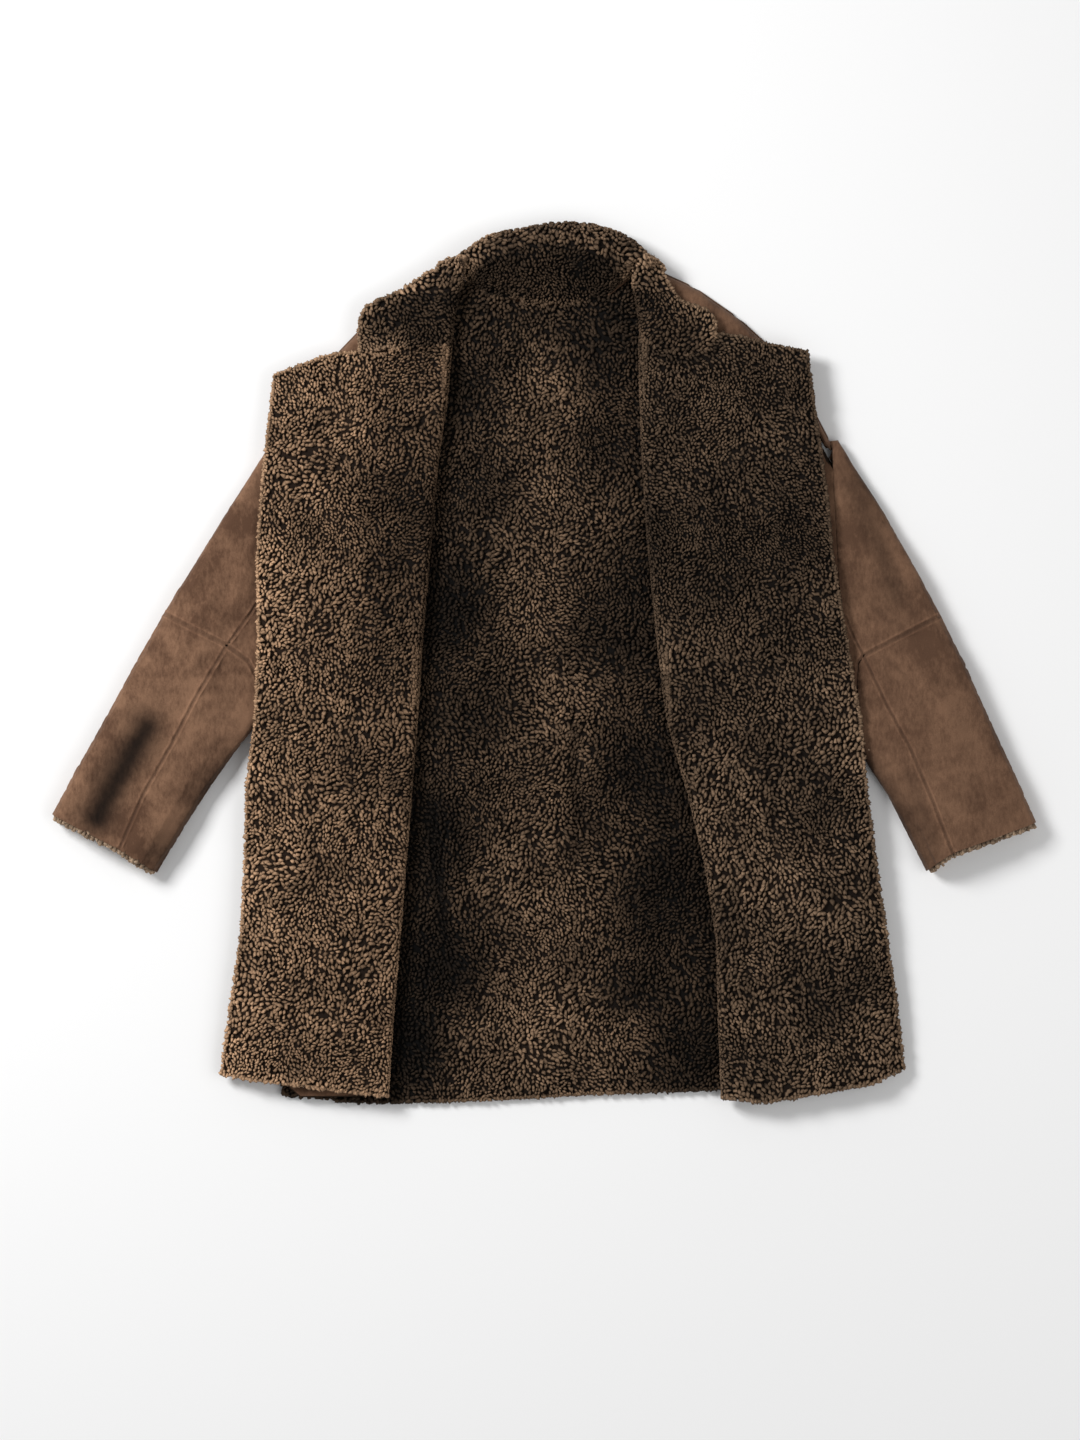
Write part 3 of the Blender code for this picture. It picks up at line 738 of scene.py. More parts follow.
def drift(points, span, seed):
    """A smooth random field over the coat, from about -1 to 1, that changes within span."""
    rng = np.random.default_rng(seed)
    waves = 9
    angle = rng.uniform(0, 2 * math.pi, waves)
    pace = 2 * math.pi / (span * rng.uniform(0.8, 2.2, waves))
    start = rng.uniform(0, 2 * math.pi, waves)
    run = points[:, :1] * np.cos(angle) + points[:, 1:2] * np.sin(angle)
    return np.sin(run * pace + start).sum(axis=1) / math.sqrt(waves)


def thinned(points, gap):
    """Which points stay when none may be nearer to another than its gap."""
    gap = np.broadcast_to(gap, len(points))
    tree = tree_of_points(points)
    state = np.zeros(len(points), np.int8)
    for i, point in enumerate(points):
        if state[i]:
            continue
        for _, near, _ in tree.find_range(point, gap[i]):
            state[near] = 2
        state[i] = 1
    return state == 1


def scattered(surface, faces, spacing, zone, rng):
    """Points strewn evenly over some of a surface's triangles, with the direction and a size at each."""
    corners = surface.points[surface.tris[faces]]
    area = np.linalg.norm(np.cross(corners[:, 1] - corners[:, 0], corners[:, 2] - corners[:, 0]), axis=1) / 2
    count = int(3.2 * area.sum() / spacing**2)
    chosen = rng.choice(len(area), count, p=area / area.sum())
    share = rng.random((count, 2))
    over = share.sum(axis=1) > 1
    share[over] = 1 - share[over]
    weights = np.column_stack((1 - share.sum(axis=1), share))
    points = (corners[chosen] * weights[..., None]).sum(axis=1)
    normals = unit((surface.normals[surface.tris[faces]][chosen] * weights[..., None]).sum(axis=1))
    size = curl_size(zone, points, normals) * rng.uniform(0.84, 1.2, count)
    kept = thinned(points, spacing * size)
    return points[kept], normals[kept], size[kept]


def rolled_collar(points):
    """How far each point of the collar is on its roll, from 0 on the stand to 1."""
    from_neck = np.linalg.norm(points[:, :2] / MM - NECK_CENTRE, axis=1)
    return np.clip((from_neck - ROLL_START) / 6, 0, 1) * (points[:, 1] > NECK_CENTRE[1] * MM + 62 * MM)


def curl_size(zone, points, normals):
    """How large the curls are at each point: finer up the fronts, on the collar's stand and over folds."""
    size = 1 + 0.12 * drift(points, 80 * MM, 51)
    if zone == "right":
        size *= 1.06 - 0.20 * np.clip(points[:, 1] / (60 * MM), 0, 1)
    if zone == "left":
        size *= 1.02 - 0.10 * np.clip(points[:, 1] / (150 * MM), 0, 1)
    if zone == "collar":
        size *= 0.90 + 0.22 * rolled_collar(points)
    size[normals[:, 2] < STEEP] *= 0.80
    return size


def zone_tone(zone, points):
    """How light the wool is at each point, with its painted light and shade, blended from the nearest of the
    zone's tones.
    """
    rows = np.array(WOOL_TONE_AND_PAINTED_LIGHT[zone])
    reach = 60.0
    near, share = rows[:, :2], rows[:, 2]
    away = ((points[:, None, :2] / MM - near) ** 2).sum(axis=2)
    weight = 1 / (away + reach**2 / 4) ** 2
    tone = (weight * share).sum(axis=1) / weight.sum(axis=1)
    if zone == "collar":
        # The collar's roll takes its painted highlight.
        tone += (ROLL_PAINTED_HIGHLIGHT - tone) * rolled_collar(points)
    return tone


# ---------------------------------------------------------------- meshes


def new_piece(name, points, tris, material):
    """A mesh object of these points and triangles, with its faces shaded smoothly."""
    mesh = bpy.data.meshes.new(name)
    mesh.vertices.add(len(points))
    mesh.vertices.foreach_set("co", np.ascontiguousarray(points, np.float32).ravel())
    mesh.loops.add(3 * len(tris))
    mesh.loops.foreach_set("vertex_index", np.ascontiguousarray(tris, np.int32).ravel())
    mesh.polygons.add(len(tris))
    mesh.polygons.foreach_set("loop_start", np.arange(0, 3 * len(tris), 3, dtype=np.int32))
    mesh.polygons.foreach_set("use_smooth", np.ones(len(tris), bool))
    mesh.update(calc_edges=True)
    mesh.materials.append(material)
    piece = bpy.data.objects.new(name, mesh)
    bpy.context.scene.collection.objects.link(piece)
    return piece


def give_values(mesh, name, values):
    """A named number at each point, for the material."""
    layer = mesh.attributes.new(name, "FLOAT", "POINT")
    layer.data.foreach_set("value", np.ascontiguousarray(values, np.float32))


def with_thickness(surface, thickness):
    """The points and triangles of a closed shell that grows from a surface against its direction."""
    count = len(surface.points)
    edges, single = edges_of(surface.tris, count)
    inner = surface.points - thickness * surface.normals
    rim_keys = {tuple(edge) for edge in edges[single].tolist()}
    walls = []
    for tri in surface.tris.tolist():
        for i in range(3):
            a, b = tri[i], tri[(i + 1) % 3]
            if (min(a, b), max(a, b)) in rim_keys:
                walls += [(a, count + a, b), (b, count + a, count + b)]
    tris = np.vstack((surface.tris, surface.tris[:, ::-1] + count, np.array(walls)))
    return np.vstack((surface.points, inner)), tris


# ---------------------------------------------------------------- the wool

Curls = namedtuple("Curls", "points tris shade tone")

# One curl: its foot, a ring round its waist, a ring round its crown, and its top. Each level leans along the
# curl and bends to its side, has a height in mm and takes a share of the curl's own rise. Its ring's half
# length and half width are shares of the curl's.
RING = 3
Level = namedtuple("Level", "lean bend height takes long wide")
FOOT = Level(0, 0, -3.2, 0, 0, 0)
WAIST = Level(0, 0, -1.1, 0.3, 0.60, 0.64)
CROWN = Level(0.14, 0.12, 0.6, 1, 0.52, 0.56)
TOP = Level(0.26, 0.36, 1.1, 1, 0, 0)
CURL_TRIS = np.array(
    [(0, 1 + (i + 1) % RING, 1 + i) for i in range(RING)]
    + [(1 + i, 1 + (i + 1) % RING, 1 + RING + i) for i in range(RING)]
    + [(1 + RING + i, 1 + (i + 1) % RING, 1 + RING + (i + 1) % RING) for i in range(RING)]
    + [(1 + RING + i, 1 + RING + (i + 1) % RING, 1 + 2 * RING) for i in range(RING)]
)
# How far each point of a curl goes from the root colour to the tip colour: the wool's own darker roots, with
# painted shade low on the curl and a painted highlight at its top.
CURL_SHADES = np.array([0.0] + [0.28] * RING + [0.84] * RING + [1.0])


def wool_curls(roots, normals, heading, sway, length, width, rise, tone, rng):
    """Curls of wool: thick tufts that grow out of the pile, with tops that lean over and bend to one side."""
    heading = unit(heading - (heading * normals).sum(axis=1, keepdims=True) * normals)
    across = np.cross(normals, heading)
    count = len(roots)
    length, width, rise, sway = (value[:, None] for value in (length, width, rise, sway))
    twist = rng.uniform(0, 2 * math.pi, (count, 1))

    def middle(level):
        lean = level.lean * length * heading
        bend = level.bend * sway * width * across
        return roots + lean + bend + (level.height * MM + level.takes * rise) * normals

    def ring(level, start):
        long, wide = level.long * length, level.wide * width
        for i in range(RING):
            angle = twist + start + i * 2 * math.pi / RING
            uneven = rng.uniform(0.82, 1.22, (count, 1))
            yield middle(level) + uneven * (np.cos(angle) * long * heading + np.sin(angle) * wide * across)

    rows = (middle(FOOT), *ring(WAIST, 0), *ring(CROWN, math.pi / RING), middle(TOP))
    points = np.stack(rows, axis=1)
    each = len(CURL_SHADES)
    tris = (CURL_TRIS[None] + each * np.arange(count)[:, None, None]).reshape(-1, 3)
    shade = np.tile(CURL_SHADES, count)
    return Curls(points.reshape(-1, 3), tris, shade, np.repeat(tone, each))


def clumped(points, gap, rng):
    """For each point, its clump's own turn, sway and lightness, and how near it is to the clump's border."""
    squeeze = np.array((1.0, 0.62, 1.0))
    spots = points * squeeze
    middles = spots[thinned(spots, gap)]
    tree = tree_of_points(middles)
    nearest = np.empty(len(points), int)
    border = np.empty(len(points))
    for i, point in enumerate(spots):
        found = tree.find_n(point, 2)
        nearest[i] = found[0][1]
        border[i] = found[0][2] / max(found[-1][2], 1e-9)
    turn = rng.normal(0, 1, len(middles))[nearest]
    sway = np.where(rng.random(len(middles)) < 0.5, -1.0, 1.0)[nearest]
    light = rng.normal(0, 1, len(middles))[nearest]
    return turn, sway, light, border


def nap_heading(points, zone):
    """The way that the wool lies, as an angle from +X."""
    down = -math.pi / 2
    if zone == "right":
        slant = 0.5 * np.clip((points[:, 1] + 0.02) / (120 * MM), 0, 1)
        return down + slant + 0.55 * drift(points, 110 * MM, 21)
    if zone == "left":
        return down - 0.35 + 0.6 * drift(points, 90 * MM, 22)
    if zone == "collar":
        return down + 0.9 * drift(points, 70 * MM, 23)
    return down + 0.75 * drift(points, 100 * MM, 24)


def fleece_curls(node, zone, surface, border, settings, rng):
    """The curls on the open part of a node's wool."""
    seen = open_above(surface)
    faces = np.flatnonzero(seen[surface.tris].any(axis=1))
    if not len(faces):
        return None
    roots, normals, size = scattered(surface, faces, settings.spacing, zone, rng)
    count = len(roots)
    turn, sway, light, outskirts = clumped(roots, settings.clump, rng)
    angle = nap_heading(roots, zone) + 0.5 * turn + rng.normal(0, 0.35, count)
    heading = np.column_stack((np.cos(angle), np.sin(angle), np.zeros(count)))
    steep = normals[:, 2] < STEEP
    inside = 1 - outskirts**3
    length = settings.length * size * rng.uniform(0.75, 1.3, count)
    width = settings.width * size * rng.uniform(0.85, 1.2, count)
    rise = MM * (1.3 * inside + rng.uniform(-0.7, 0.8, count) + 0.5 * drift(roots, 45 * MM, 31) - 0.6)
    rise[steep] *= 0.3
    if zone == "collar":
        rise += 1.6 * MM * rolled_collar(roots) * rng.random(count)
    lift, crease_light = creased(node, roots)
    edge_band = 12 * MM
    near_edge = np.exp(-((distance_to(border.middle[border.free], roots) / edge_band) ** 2))
    # Painted shade from the creases, and painted highlight along free edges.
    tone = zone_tone(zone, roots) * crease_light * (1 + EDGE_LIGHT[zone] * near_edge)
    # Painted shade in the partings at the clumps' borders; the clumps and the curls also differ in tone at
    # random.
    tone *= (0.64 + 0.36 * inside) * (1 + 0.12 * light) * rng.uniform(0.78, 1.22, count)
    tone *= 1 + 0.13 * drift(roots, 55 * MM, 32)
    tone[steep] *= 1.12
    sway = sway * rng.uniform(0.3, 1.3, count)
    roots = roots + (lift - 1.0 * MM)[:, None] * normals
    return wool_curls(roots, normals, heading, sway, length, width, rise, tone, rng)


def edge_curls(node, zone, border, settings, rng):
    """Uneven rows of curls over the free edges of a node's wool, longer and paler where it is a cuff."""
    cuff = node.startswith("sleeve")
    free = border.free & (not cuff or "lower" in node)
    if not free.any():
        return None
    step = 2.4 * MM
    rows = ((0.4, 0.5), (2.6, 1.6), (4.8, 3.6))
    found = []
    for row, (depth, lean) in enumerate(rows):
        copies = np.floor(border.length / step + rng.random(len(free))).astype(int) * free
        index = np.repeat(np.arange(len(free)), copies)
        count = len(index)
        along = border.along[index]
        outward = border.outward[index]
        normal = border.normal[index]
        shift = (rng.random(count) - 0.5) * border.length[index]
        sunk = (depth + rng.uniform(-1.2, 1.2, count)) * MM
        at = border.middle[index] + along * shift[:, None] - sunk[:, None] * normal
        if cuff:
            facing = unit(outward + (0.45 - 0.30 * row) * normal)
            rise = rng.uniform(0.4, 7.0, count)
            light = 1.1
        else:
            facing = unit(normal + (lean * rng.uniform(0.5, 1.5, count))[:, None] * outward)
            rise = rng.uniform(-0.8, 1.5, count)
            # Painted highlight on the curls over free edges.
            light = 1 + 0.8 * EDGE_LIGHT[zone]
        heading = unit(0.6 * outward + along * rng.normal(0, 0.9, count)[:, None] - 0.4 * UP)
        size = rng.uniform(0.65, 1.25, count)
        found.append(
            wool_curls(
                at - 1.4 * MM * facing,
                facing,
                heading,
                rng.choice((-1.0, 1.0), count) * rng.uniform(0.4, 1.2, count),
                settings.length * size,
                1.15 * settings.width * size,
                MM * rise,
                zone_tone("cuff" if cuff else zone, at) * rng.uniform(0.7, 1.2, count) * light,
                rng,
            )
        )
    return joined_curls(found)


def joined_curls(parts):
    """Several sets of curls as one."""
    parts = [part for part in parts if part is not None]
    starts = np.cumsum([0] + [len(part.points) for part in parts[:-1]])
    return Curls(
        np.vstack([part.points for part in parts]),
        np.vstack([part.tris + start for part, start in zip(parts, starts)]),
        np.concatenate([part.shade for part in parts]),
        np.concatenate([part.tone for part in parts]),
    )


def wool_piece(node, zone, faces, settings, material, seed):
    """A node's wool: the dark pile, and the curls on it where they show."""
    rng = np.random.default_rng(seed)
    sleeve = node.startswith("sleeve")
    grain = (7 if sleeve else 12) * MM
    surface = sewn_together(node, side_surface(faces, grain, 6))
    border = border_of(node, surface)
    parts = []
    if not sleeve:
        parts.append(fleece_curls(node, zone, surface, border, settings, rng))
    parts.append(edge_curls(node, zone, border, settings, rng))
    skin_room = 1.9 * MM
    wall = 8 * MM
    slack = (2.0 if sleeve else 0.6) * MM
    lift = creased(node, surface.points)[0] * (-1.0 if sleeve else 1.0)
    depth = settings.pile - lift + 0.4 * MM * drift(surface.points, 30 * MM, seed)
    sunk = Surface(surface.points - depth[:, None] * surface.normals, surface.tris, surface.normals)
    points, tris = with_thickness(sunk, wall - skin_room - settings.pile - slack)
    fold_shade = 0.22 * (surface.normals[:, 2] < STEEP)
    # The pile takes the root colour: the wool's own dark roots and the painted shade between the curls.
    pile = Curls(points, tris, np.tile(fold_shade, 2), zone_tone(zone, points))
    whole = joined_curls([pile] + parts)
    piece = new_piece(f"{node}_wool", whole.points, whole.tris, material)
    give_values(piece.data, "shade", whole.shade)
    give_values(piece.data, "tone", whole.tone)
    return piece


# ---------------------------------------------------------------- the suede


def distance_to(targets, points):
    """How far each point is from the nearest target, or far if there is none."""
    if not len(targets):
        return np.full(len(points), 1.0)
    tree = tree_of_points(targets)
    return np.array([tree.find(point)[2] for point in points])


def drawn_in(surface, border, distance):
    """The surface with its free border drawn in, so that the wool hides its edge."""
    pull = np.zeros_like(surface.points)
    for column in (0, 1):
        np.add.at(pull, border.ends[border.free][:, column], border.outward[border.free])
    return Surface(surface.points - distance * unit(pull), surface.tris, surface.normals)


def suede_piece(node, faces, settings, material, grain):
    """A node's skin: a thin shell on the wall's suede side, with its seams and creases."""
    sleeve = node.startswith("sleeve")
    surface = side_surface(faces, grain, 8, 1.5 * MM if sleeve else None, node)
    border = border_of(node, surface)
    from_seam = distance_to(border.middle[~border.free], surface.points)
    from_edge = distance_to(border.middle[border.free], surface.points)
    surface = sewn_together(node, surface)
    points = surface.points
    lift, light = creased(node, points)
    seam_line = np.exp(-((from_seam / (0.9 * MM)) ** 2))
    if sleeve:
        ridge_away, ridge_half_width, groove_depth = 2.3 * MM, 1.3 * MM, 0.7 * MM
        pucker = 1 + 0.5 * drift(points, 9 * MM, 41)
        ridge = np.exp(-(((from_seam - ridge_away) / ridge_half_width) ** 2))
        groove = groove_depth * seam_line
        lift += settings.ridge * pucker * ridge - groove
        lift += 0.9 * MM * drift(points, 60 * MM, 42) + 0.45 * MM * drift(points, 22 * MM, 43)
        # Painted highlight on the ridges beside the seams.
        light *= 1 + 0.24 * ridge
    else:
        surface = drawn_in(surface, border, 1.6 * MM)
        points = surface.points
        light *= 1 - 0.7 * np.exp(-((from_edge / (3 * MM)) ** 2))
    upper = np.clip(surface.normals[:, 2] * 2, 0, 1)
    points = points + (upper * lift)[:, None] * surface.normals
    surface = Surface(points, surface.tris, point_normals(points, surface.tris))
    points, tris = with_thickness(surface, settings.thickness)
    piece = new_piece(f"{node}_skin", points, tris, material)
    piece.data.set_sharp_from_angle(angle=math.radians(60))
    give_values(piece.data, "seam", np.tile(seam_line, 2))
    # The nap value is painted light: the creases' painted shade, partly the darker nap, the painted highlight
    # beside seams, and darker near free edges.
    give_values(piece.data, "nap", np.tile(light, 2))
    return piece


# ---------------------------------------------------------------- materials


def node_group(name, inputs, outputs):
    """An empty shader node group with named sockets, and its input and output nodes."""
    group = bpy.data.node_groups.new(name, "ShaderNodeTree")
    for label, kind, value in inputs:
        socket = group.interface.new_socket(label, in_out="INPUT", socket_type=kind)
        socket.default_value = value
    for label, kind in outputs:
        group.interface.new_socket(label, in_out="OUTPUT", socket_type=kind)
    return group, group.nodes.new("NodeGroupInput"), group.nodes.new("NodeGroupOutput")


def placed(tree, kind, **settings):
    """A shader node with its settings."""
    node = tree.nodes.new(kind)
    for name, value in settings.items():
        setattr(node, name, value)
    return node


def noise(tree, place, scale, detail, roughness=0.6):
    """A noise texture in the coat's own coordinates."""
    node = placed(tree, "ShaderNodeTexNoise")
    node.inputs["Scale"].default_value = scale
    node.inputs["Detail"].default_value = detail
    node.inputs["Roughness"].default_value = roughness
    tree.links.new(place, node.inputs["Vector"])
    return node.outputs["Fac"]


def spread(tree, value, low, high, to_low, to_high):
    """A value moved from one range to another, held within it."""
    node = placed(tree, "ShaderNodeMapRange")
    for label, number in (("From Min", low), ("From Max", high), ("To Min", to_low), ("To Max", to_high)):
        node.inputs[label].default_value = number
    tree.links.new(value, node.inputs["Value"])
    return node.outputs["Result"]


def blended(tree, share, first, second, mode="MIX"):
    """Two colours blended by a share, each a socket or a colour."""
    node = placed(tree, "ShaderNodeMix", data_type="RGBA", blend_type=mode)
    for socket, value in ((node.inputs[0], share), (node.inputs[6], first), (node.inputs[7], second)):
        if isinstance(value, bpy.types.NodeSocket):
            tree.links.new(value, socket)
        elif isinstance(value, (int, float)):
            socket.default_value = value
        else:
            socket.default_value = (*value[:3], 1.0)
    return node.outputs[2]


def worked(tree, operation, *values):
    """The output of a Math node whose inputs are sockets or numbers."""
    node = placed(tree, "ShaderNodeMath", operation=operation)
    for socket, value in zip(node.inputs, values):
        if isinstance(value, bpy.types.NodeSocket):
            tree.links.new(value, socket)
        else:
            socket.default_value = value
    return node.outputs[0]


def lightened(tree, colour, value):
    """A colour multiplied by a value."""
    grey = placed(tree, "ShaderNodeCombineColor")
    for channel in grey.inputs:
        tree.links.new(value, channel)
    return blended(tree, 1.0, colour, grey.outputs[0], "MULTIPLY")


def fibre_group():
    """Wool fibres: the colour of a curl from its root to its tip, with painted shade low on it and a painted
    highlight at its top, and fine strands along it.
    """
    group, given, made = node_group(
        "wool fibres",
        (
            ("Root", "NodeSocketColor", (0.03, 0.02, 0.01, 1)),
            ("Tip", "NodeSocketColor", (0.3, 0.2, 0.14, 1)),
            ("Shade", "NodeSocketFloat", 1.0),
            ("Tone", "NodeSocketFloat", 1.0),
        ),
        (("Color", "NodeSocketColor"), ("Roughness", "NodeSocketFloat"), ("Height", "NodeSocketFloat")),
    )
    place = placed(group, "ShaderNodeTexCoord").outputs["Object"]
    strands = noise(group, place, 900, 2)
    patches = noise(group, place, 26, 3)
    curve = worked(group, "POWER", given.outputs["Shade"], 1.55)
    wool = blended(group, curve, given.outputs["Root"], given.outputs["Tip"])
    fine = spread(group, strands, 0.3, 0.7, 0.70, 1.34)
    broad = spread(group, patches, 0.35, 0.65, 0.86, 1.12)
    tone = worked(group, "MULTIPLY", worked(group, "MULTIPLY", given.outputs["Tone"], fine), broad)
    colour = lightened(group, wool, tone)
    group.links.new(colour, made.inputs["Color"])
    group.links.new(spread(group, strands, 0.3, 0.7, 0.72, 0.92), made.inputs["Roughness"])
    group.links.new(strands, made.inputs["Height"])
    return group


def nap_group():
    """Suede nap: cloudy where it is brushed up or lies flat, darker at the seams, with a fine grain, and made
    lighter or darker by painted light: the creases' painted shade and the painted highlight beside seams.
    """
    group, given, made = node_group(
        "suede nap",
        (
            ("Suede", "NodeSocketColor", (0.23, 0.14, 0.09, 1)),
            ("Dark", "NodeSocketColor", (0.1, 0.06, 0.04, 1)),
            ("Seam", "NodeSocketFloat", 0.0),
            ("Nap and painted light", "NodeSocketFloat", 1.0),
            ("Mottle", "NodeSocketFloat", 1.0),
        ),
        (("Color", "NodeSocketColor"), ("Roughness", "NodeSocketFloat"), ("Height", "NodeSocketFloat")),
    )
    place = placed(group, "ShaderNodeTexCoord").outputs["Object"]
    strokes = placed(group, "ShaderNodeMapping")
    strokes.inputs["Rotation"].default_value = (0, 0, math.radians(38))
    strokes.inputs["Scale"].default_value = (1.0, 0.42, 1.0)
    group.links.new(place, strokes.inputs["Vector"])
    clouds = noise(group, place, 15, 5, 0.62)
    flecks = noise(group, strokes.outputs["Vector"], 260, 4, 0.7)
    grain = noise(group, place, 1300, 2)
    both = worked(group, "MULTIPLY_ADD", flecks, 0.45, clouds)
    brushed = worked(group, "MULTIPLY", spread(group, both, 0.60, 0.84, 0.85, 0.0), given.outputs["Mottle"])
    suede = blended(group, brushed, given.outputs["Suede"], given.outputs["Dark"])
    lit = worked(group, "MULTIPLY", given.outputs["Nap and painted light"], spread(group, grain, 0.3, 0.7, 0.84, 1.16))
    napped = lightened(group, suede, lit)
    thread_shadow = (0.022, 0.012, 0.008)
    seamed = blended(group, worked(group, "MULTIPLY", given.outputs["Seam"], 0.5), napped, thread_shadow)
    group.links.new(seamed, made.inputs["Color"])
    group.links.new(spread(group, clouds, 0.3, 0.7, 0.84, 0.97), made.inputs["Roughness"])
    group.links.new(worked(group, "MULTIPLY_ADD", flecks, 1.5, grain), made.inputs["Height"])
    return group


def finish_material(name, group, values, attributes, bump, sheen):
    """A material of one Principled shader that takes its colour, roughness and bump from a group."""
    material = bpy.data.materials.new(name)
    material.use_nodes = True
    tree = material.node_tree
    shader = tree.nodes["Principled BSDF"]
    shader.inputs["Sheen Weight"].default_value = sheen
    shader.inputs["Sheen Roughness"].default_value = 0.5
    shader.inputs["Specular IOR Level"].default_value = 0.12
    node = placed(tree, "ShaderNodeGroup", node_tree=group)
    for label, value in values.items():
        node.inputs[label].default_value = value
    for label, attribute in attributes.items():
        reader = placed(tree, "ShaderNodeAttribute", attribute_name=attribute)
        tree.links.new(reader.outputs["Fac"], node.inputs[label])
    tree.links.new(node.outputs["Color"], shader.inputs["Base Color"])
    tree.links.new(node.outputs["Roughness"], shader.inputs["Roughness"])
    raised = placed(tree, "ShaderNodeBump")
    raised.inputs["Strength"].default_value = bump
    raised.inputs["Distance"].default_value = 0.4 * MM
    tree.links.new(node.outputs["Height"], raised.inputs["Height"])
    tree.links.new(raised.outputs["Normal"], shader.inputs["Normal"])
    return material


def fleece_material(name, warmth):
    """Wool whose tip colour is the fleece's own, made a little warmer or cooler."""
    if name in bpy.data.materials:
        return bpy.data.materials[name]
    settings = bpy.context.scene.coat_fleece
    red, green, blue = settings.tip_colour
    group = bpy.data.node_groups.get("wool fibres") or fibre_group()
    values = {
        "Root": (*settings.root_and_gap_shade_colour, 1),
        "Tip": (red * warmth, green, blue / warmth, 1),
    }
    return finish_material(name, group, values, {"Shade": "shade", "Tone": "tone"}, 0.85, 0.0)


def suede_material(name, mottle, light=1.0):
    """Suede with stronger or weaker clouds in its nap, and lighter or darker all over."""
    if name in bpy.data.materials:
        return bpy.data.materials[name]
    settings = bpy.context.scene.coat_suede
    group = bpy.data.node_groups.get("suede nap") or nap_group()
    suede = [light * channel for channel in settings.colour]
    dark = [light * channel for channel in settings.dark_colour]
    values = {"Suede": (*suede, 1), "Dark": (*dark, 1), "Mottle": mottle}
    return finish_material(name, group, values, {"Seam": "seam", "Nap and painted light": "nap"}, 0.6, 0.05)


# ---------------------------------------------------------------- one panel of the coat


def coat_panel(node, zone, seed, fleece, suede, skin_grain):
    """Builds a panel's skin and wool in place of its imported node."""
    scene = bpy.context.scene
    wall, suede_faces, wool_faces = wall_sides(node)
    wool = wool_piece(node, zone, wool_faces, scene.coat_fleece, fleece, seed)
    skin = suede_piece(node, suede_faces, scene.coat_suede, suede, skin_grain)
    wall.free()
    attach(wool, "root")
    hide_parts(node)
    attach(skin, "root")
    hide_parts(node)
    cut = CUTS[node]
    [f"{name}_wool" for name in cut.rests_on]


class COAT_OT_back(bpy.types.Operator):
    """Builds the back: its upper panel and the two halves below the waist seam"""

    bl_idname = "coat.back"
    bl_label = "Back"

    def execute(self, context):
        fleece = fleece_material("fleece back", 1.0)
        suede = suede_material("suede body", 0.8)
        for seed, node in enumerate(BACK_PIECES, start=101):
            coat_panel(node, "back", seed, fleece, suede, 20 * MM)
        return {"FINISHED"}


class COAT_OT_fronts(bpy.types.Operator):
    """Builds both turned-back fronts, above and below the waist seam"""

    bl_idname = "coat.fronts"
    bl_label = "Fronts"

    def execute(self, context):
        suede = suede_material("suede body", 0.8)
        for seed, node in enumerate(FRONT_PIECES, start=201):
            zone = node.split("_")[1]
            fleece = fleece_material(f"fleece {zone} front", 1.03 if zone == "left" else 0.98)
            shoulder_shows = node == "front_right_upper"
            coat_panel(node, zone, seed, fleece, suede, (8 if shoulder_shows else 16) * MM)
        return {"FINISHED"}


class COAT_OT_collar(bpy.types.Operator):
    """Builds the collar with its wool rolled outwards"""

    bl_idname = "coat.collar"
    bl_label = "Collar"

    def execute(self, context):
        fleece = fleece_material("fleece collar", 1.0)
        suede = suede_material("suede body", 0.8)
        coat_panel("collar", "collar", 301, fleece, suede, 9 * MM)
        return {"FINISHED"}


class COAT_OT_sleeves(bpy.types.Operator):
    """Builds the sleeves: suede outside, wool inside and at the cuffs"""

    bl_idname = "coat.sleeves"
    bl_label = "Sleeves"

    def execute(self, context):
        for seed, node in enumerate(SLEEVE_PIECES, start=401):
            hand = node.split("_")[1]
            mottle, light = (1.0, 1.22) if hand == "left" else (0.85, 0.97)
            fleece = fleece_material("fleece cuffs", 0.9)
            suede = suede_material(f"suede {hand} sleeve", mottle, light)
            coat_panel(node, hand, seed, fleece, suede, 6 * MM)
        return {"FINISHED"}


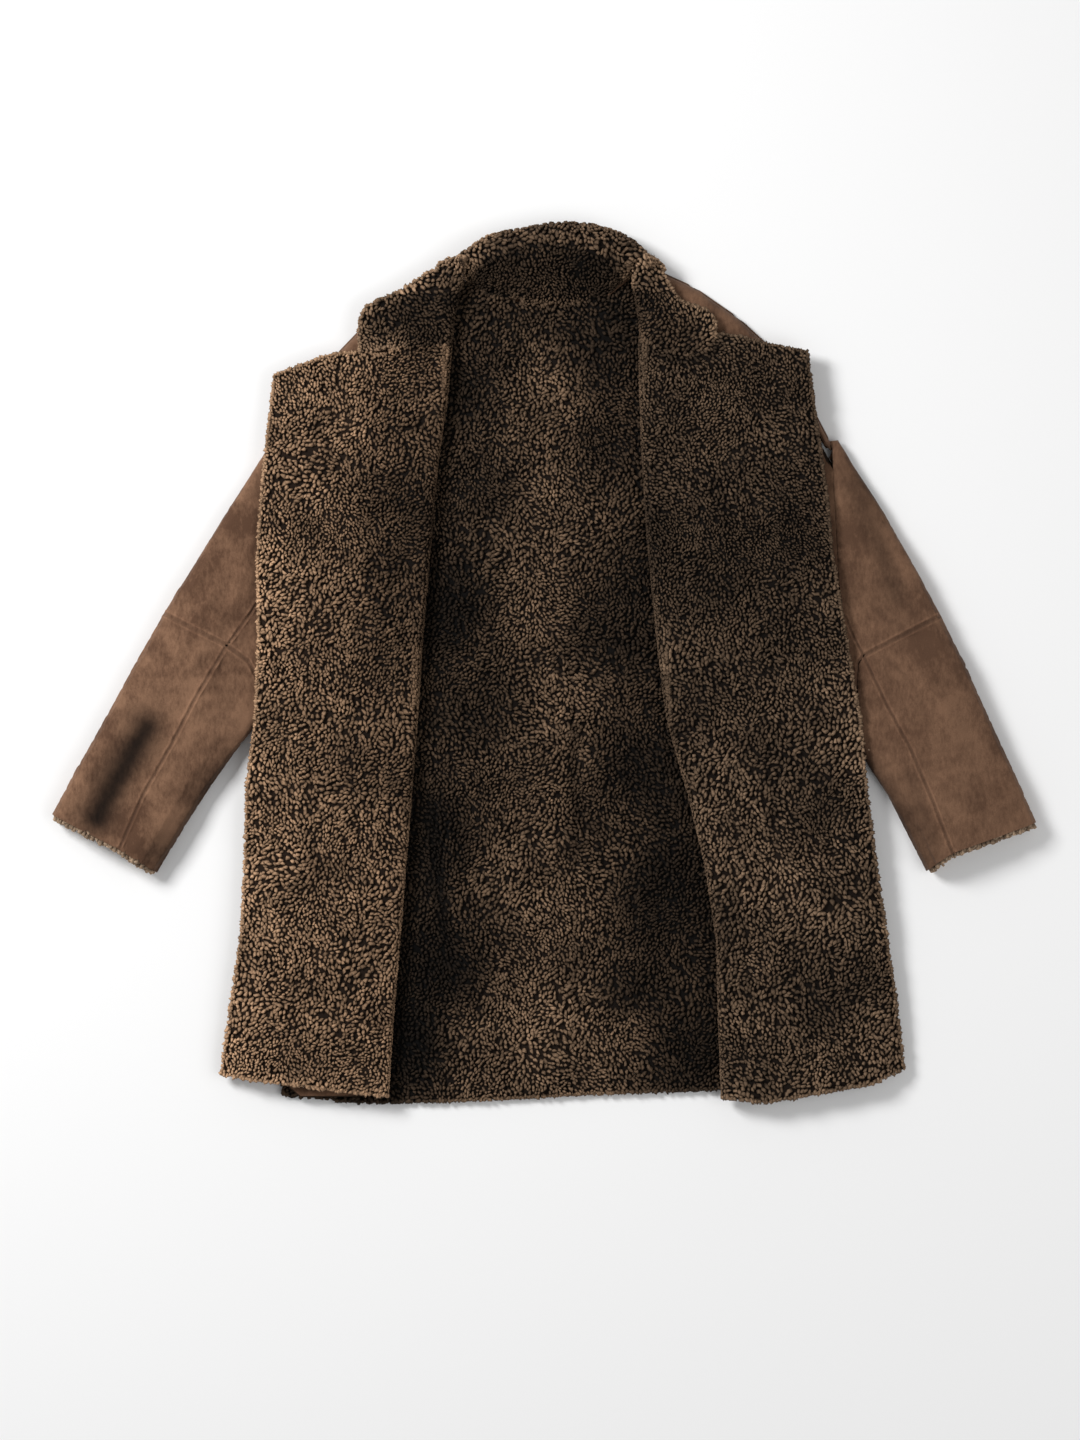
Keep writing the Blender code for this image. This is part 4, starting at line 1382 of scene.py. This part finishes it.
class COAT_OT_stage(bpy.types.Operator):
    """Sets the floor, the lights and the camera"""

    bl_idname = "coat.stage"
    bl_label = "Stage"

    def execute(self, context):
        settings = context.scene.coat_stage
        low, high = CAD_BOX
        floor_mesh = bpy.data.meshes.new("floor")
        reach = 8.0
        corners = [(-reach, -reach, 0), (reach, -reach, 0), (reach, reach, 0), (-reach, reach, 0)]
        floor_mesh.from_pydata(corners, [], [(0, 1, 2, 3)])
        floor = bpy.data.objects.new("floor", floor_mesh)
        floor.location.z = low.z - 0.2 * MM
        context.scene.collection.objects.link(floor)
        paper = bpy.data.materials.new("floor paper")
        paper.use_nodes = True
        shader = paper.node_tree.nodes["Principled BSDF"]
        shader.inputs["Base Color"].default_value = (*settings.floor_colour, 1)
        shader.inputs["Roughness"].default_value = 0.9
        floor_mesh.materials.append(paper)

        world = bpy.data.worlds.new("studio")
        world.use_nodes = True
        world.node_tree.nodes["Background"].inputs["Color"].default_value = (1, 1, 1, 1)
        world.node_tree.nodes["Background"].inputs["Strength"].default_value = 0.35
        context.scene.world = world

        for name, place, size, power in (
            ("window", (-2.3, 1.5, 2.5), 1.2, settings.window_light),
            ("fill", (1.8, -0.6, 2.6), 2.2, 0.2 * settings.window_light),
        ):
            data = bpy.data.lights.new(name, "AREA")
            data.size = size
            data.energy = power
            light = bpy.data.objects.new(name, data)
            light.location = place
            light.rotation_euler = (-Vector(place)).to_track_quat("-Z", "Y").to_euler()
            context.scene.collection.objects.link(light)

        view_centre = Vector((-5 * MM, -64 * MM, 0))
        view_height = 1.584
        subject_height = 20 * MM
        data = bpy.data.cameras.new("camera")
        data.sensor_fit = "AUTO"
        data.sensor_width = 36.0
        data.lens = data.sensor_width * (settings.camera_height - subject_height) / view_height
        data.clip_start = 0.1
        data.clip_end = 50.0
        camera = bpy.data.objects.new("camera", data)
        camera.location = view_centre + Vector((0, 0, settings.camera_height))
        context.scene.collection.objects.link(camera)
        context.scene.camera = camera
        context.scene.view_settings.view_transform = "Standard"
        return {"FINISHED"}


class COAT_PT_panel(bpy.types.Panel):
    """Lists the coat's pieces in the 3D view's sidebar"""

    bl_idname = "COAT_PT_panel"
    bl_label = "Shearling coat"
    bl_space_type = "VIEW_3D"
    bl_region_type = "UI"
    bl_category = "Coat"

    def draw(self, context):
        for settings in (context.scene.coat_fleece, context.scene.coat_suede, context.scene.coat_stage):
            for name in settings.__annotations__:
                self.layout.prop(settings, name)
        for operator in OPERATORS:
            self.layout.operator(operator.bl_idname)


OPERATORS = (COAT_OT_back, COAT_OT_fronts, COAT_OT_collar, COAT_OT_sleeves, COAT_OT_stage)
CLASSES = (FleeceSettings, SuedeSettings, StageSettings, *OPERATORS, COAT_PT_panel)


def register():
    """Adds the coat's classes and settings to Blender."""
    for cls in CLASSES:
        bpy.utils.register_class(cls)
    bpy.types.Scene.coat_fleece = PointerProperty(type=FleeceSettings)
    bpy.types.Scene.coat_suede = PointerProperty(type=SuedeSettings)
    bpy.types.Scene.coat_stage = PointerProperty(type=StageSettings)


def unregister():
    """Takes the coat's classes and settings away again."""
    del bpy.types.Scene.coat_stage
    del bpy.types.Scene.coat_suede
    del bpy.types.Scene.coat_fleece
    for cls in reversed(CLASSES):
        bpy.utils.unregister_class(cls)


def main():
    """Builds the coat and its stage."""
    for start_object in [o for o in bpy.data.objects if o.name in ("Cube", "Light", "Camera")]:
        bpy.data.objects.remove(start_object)
    register()
    bpy.ops.coat.back()
    bpy.ops.coat.fronts()
    bpy.ops.coat.collar()
    bpy.ops.coat.sleeves()
    bpy.ops.coat.stage()


if __name__ == "__main__":
    main()
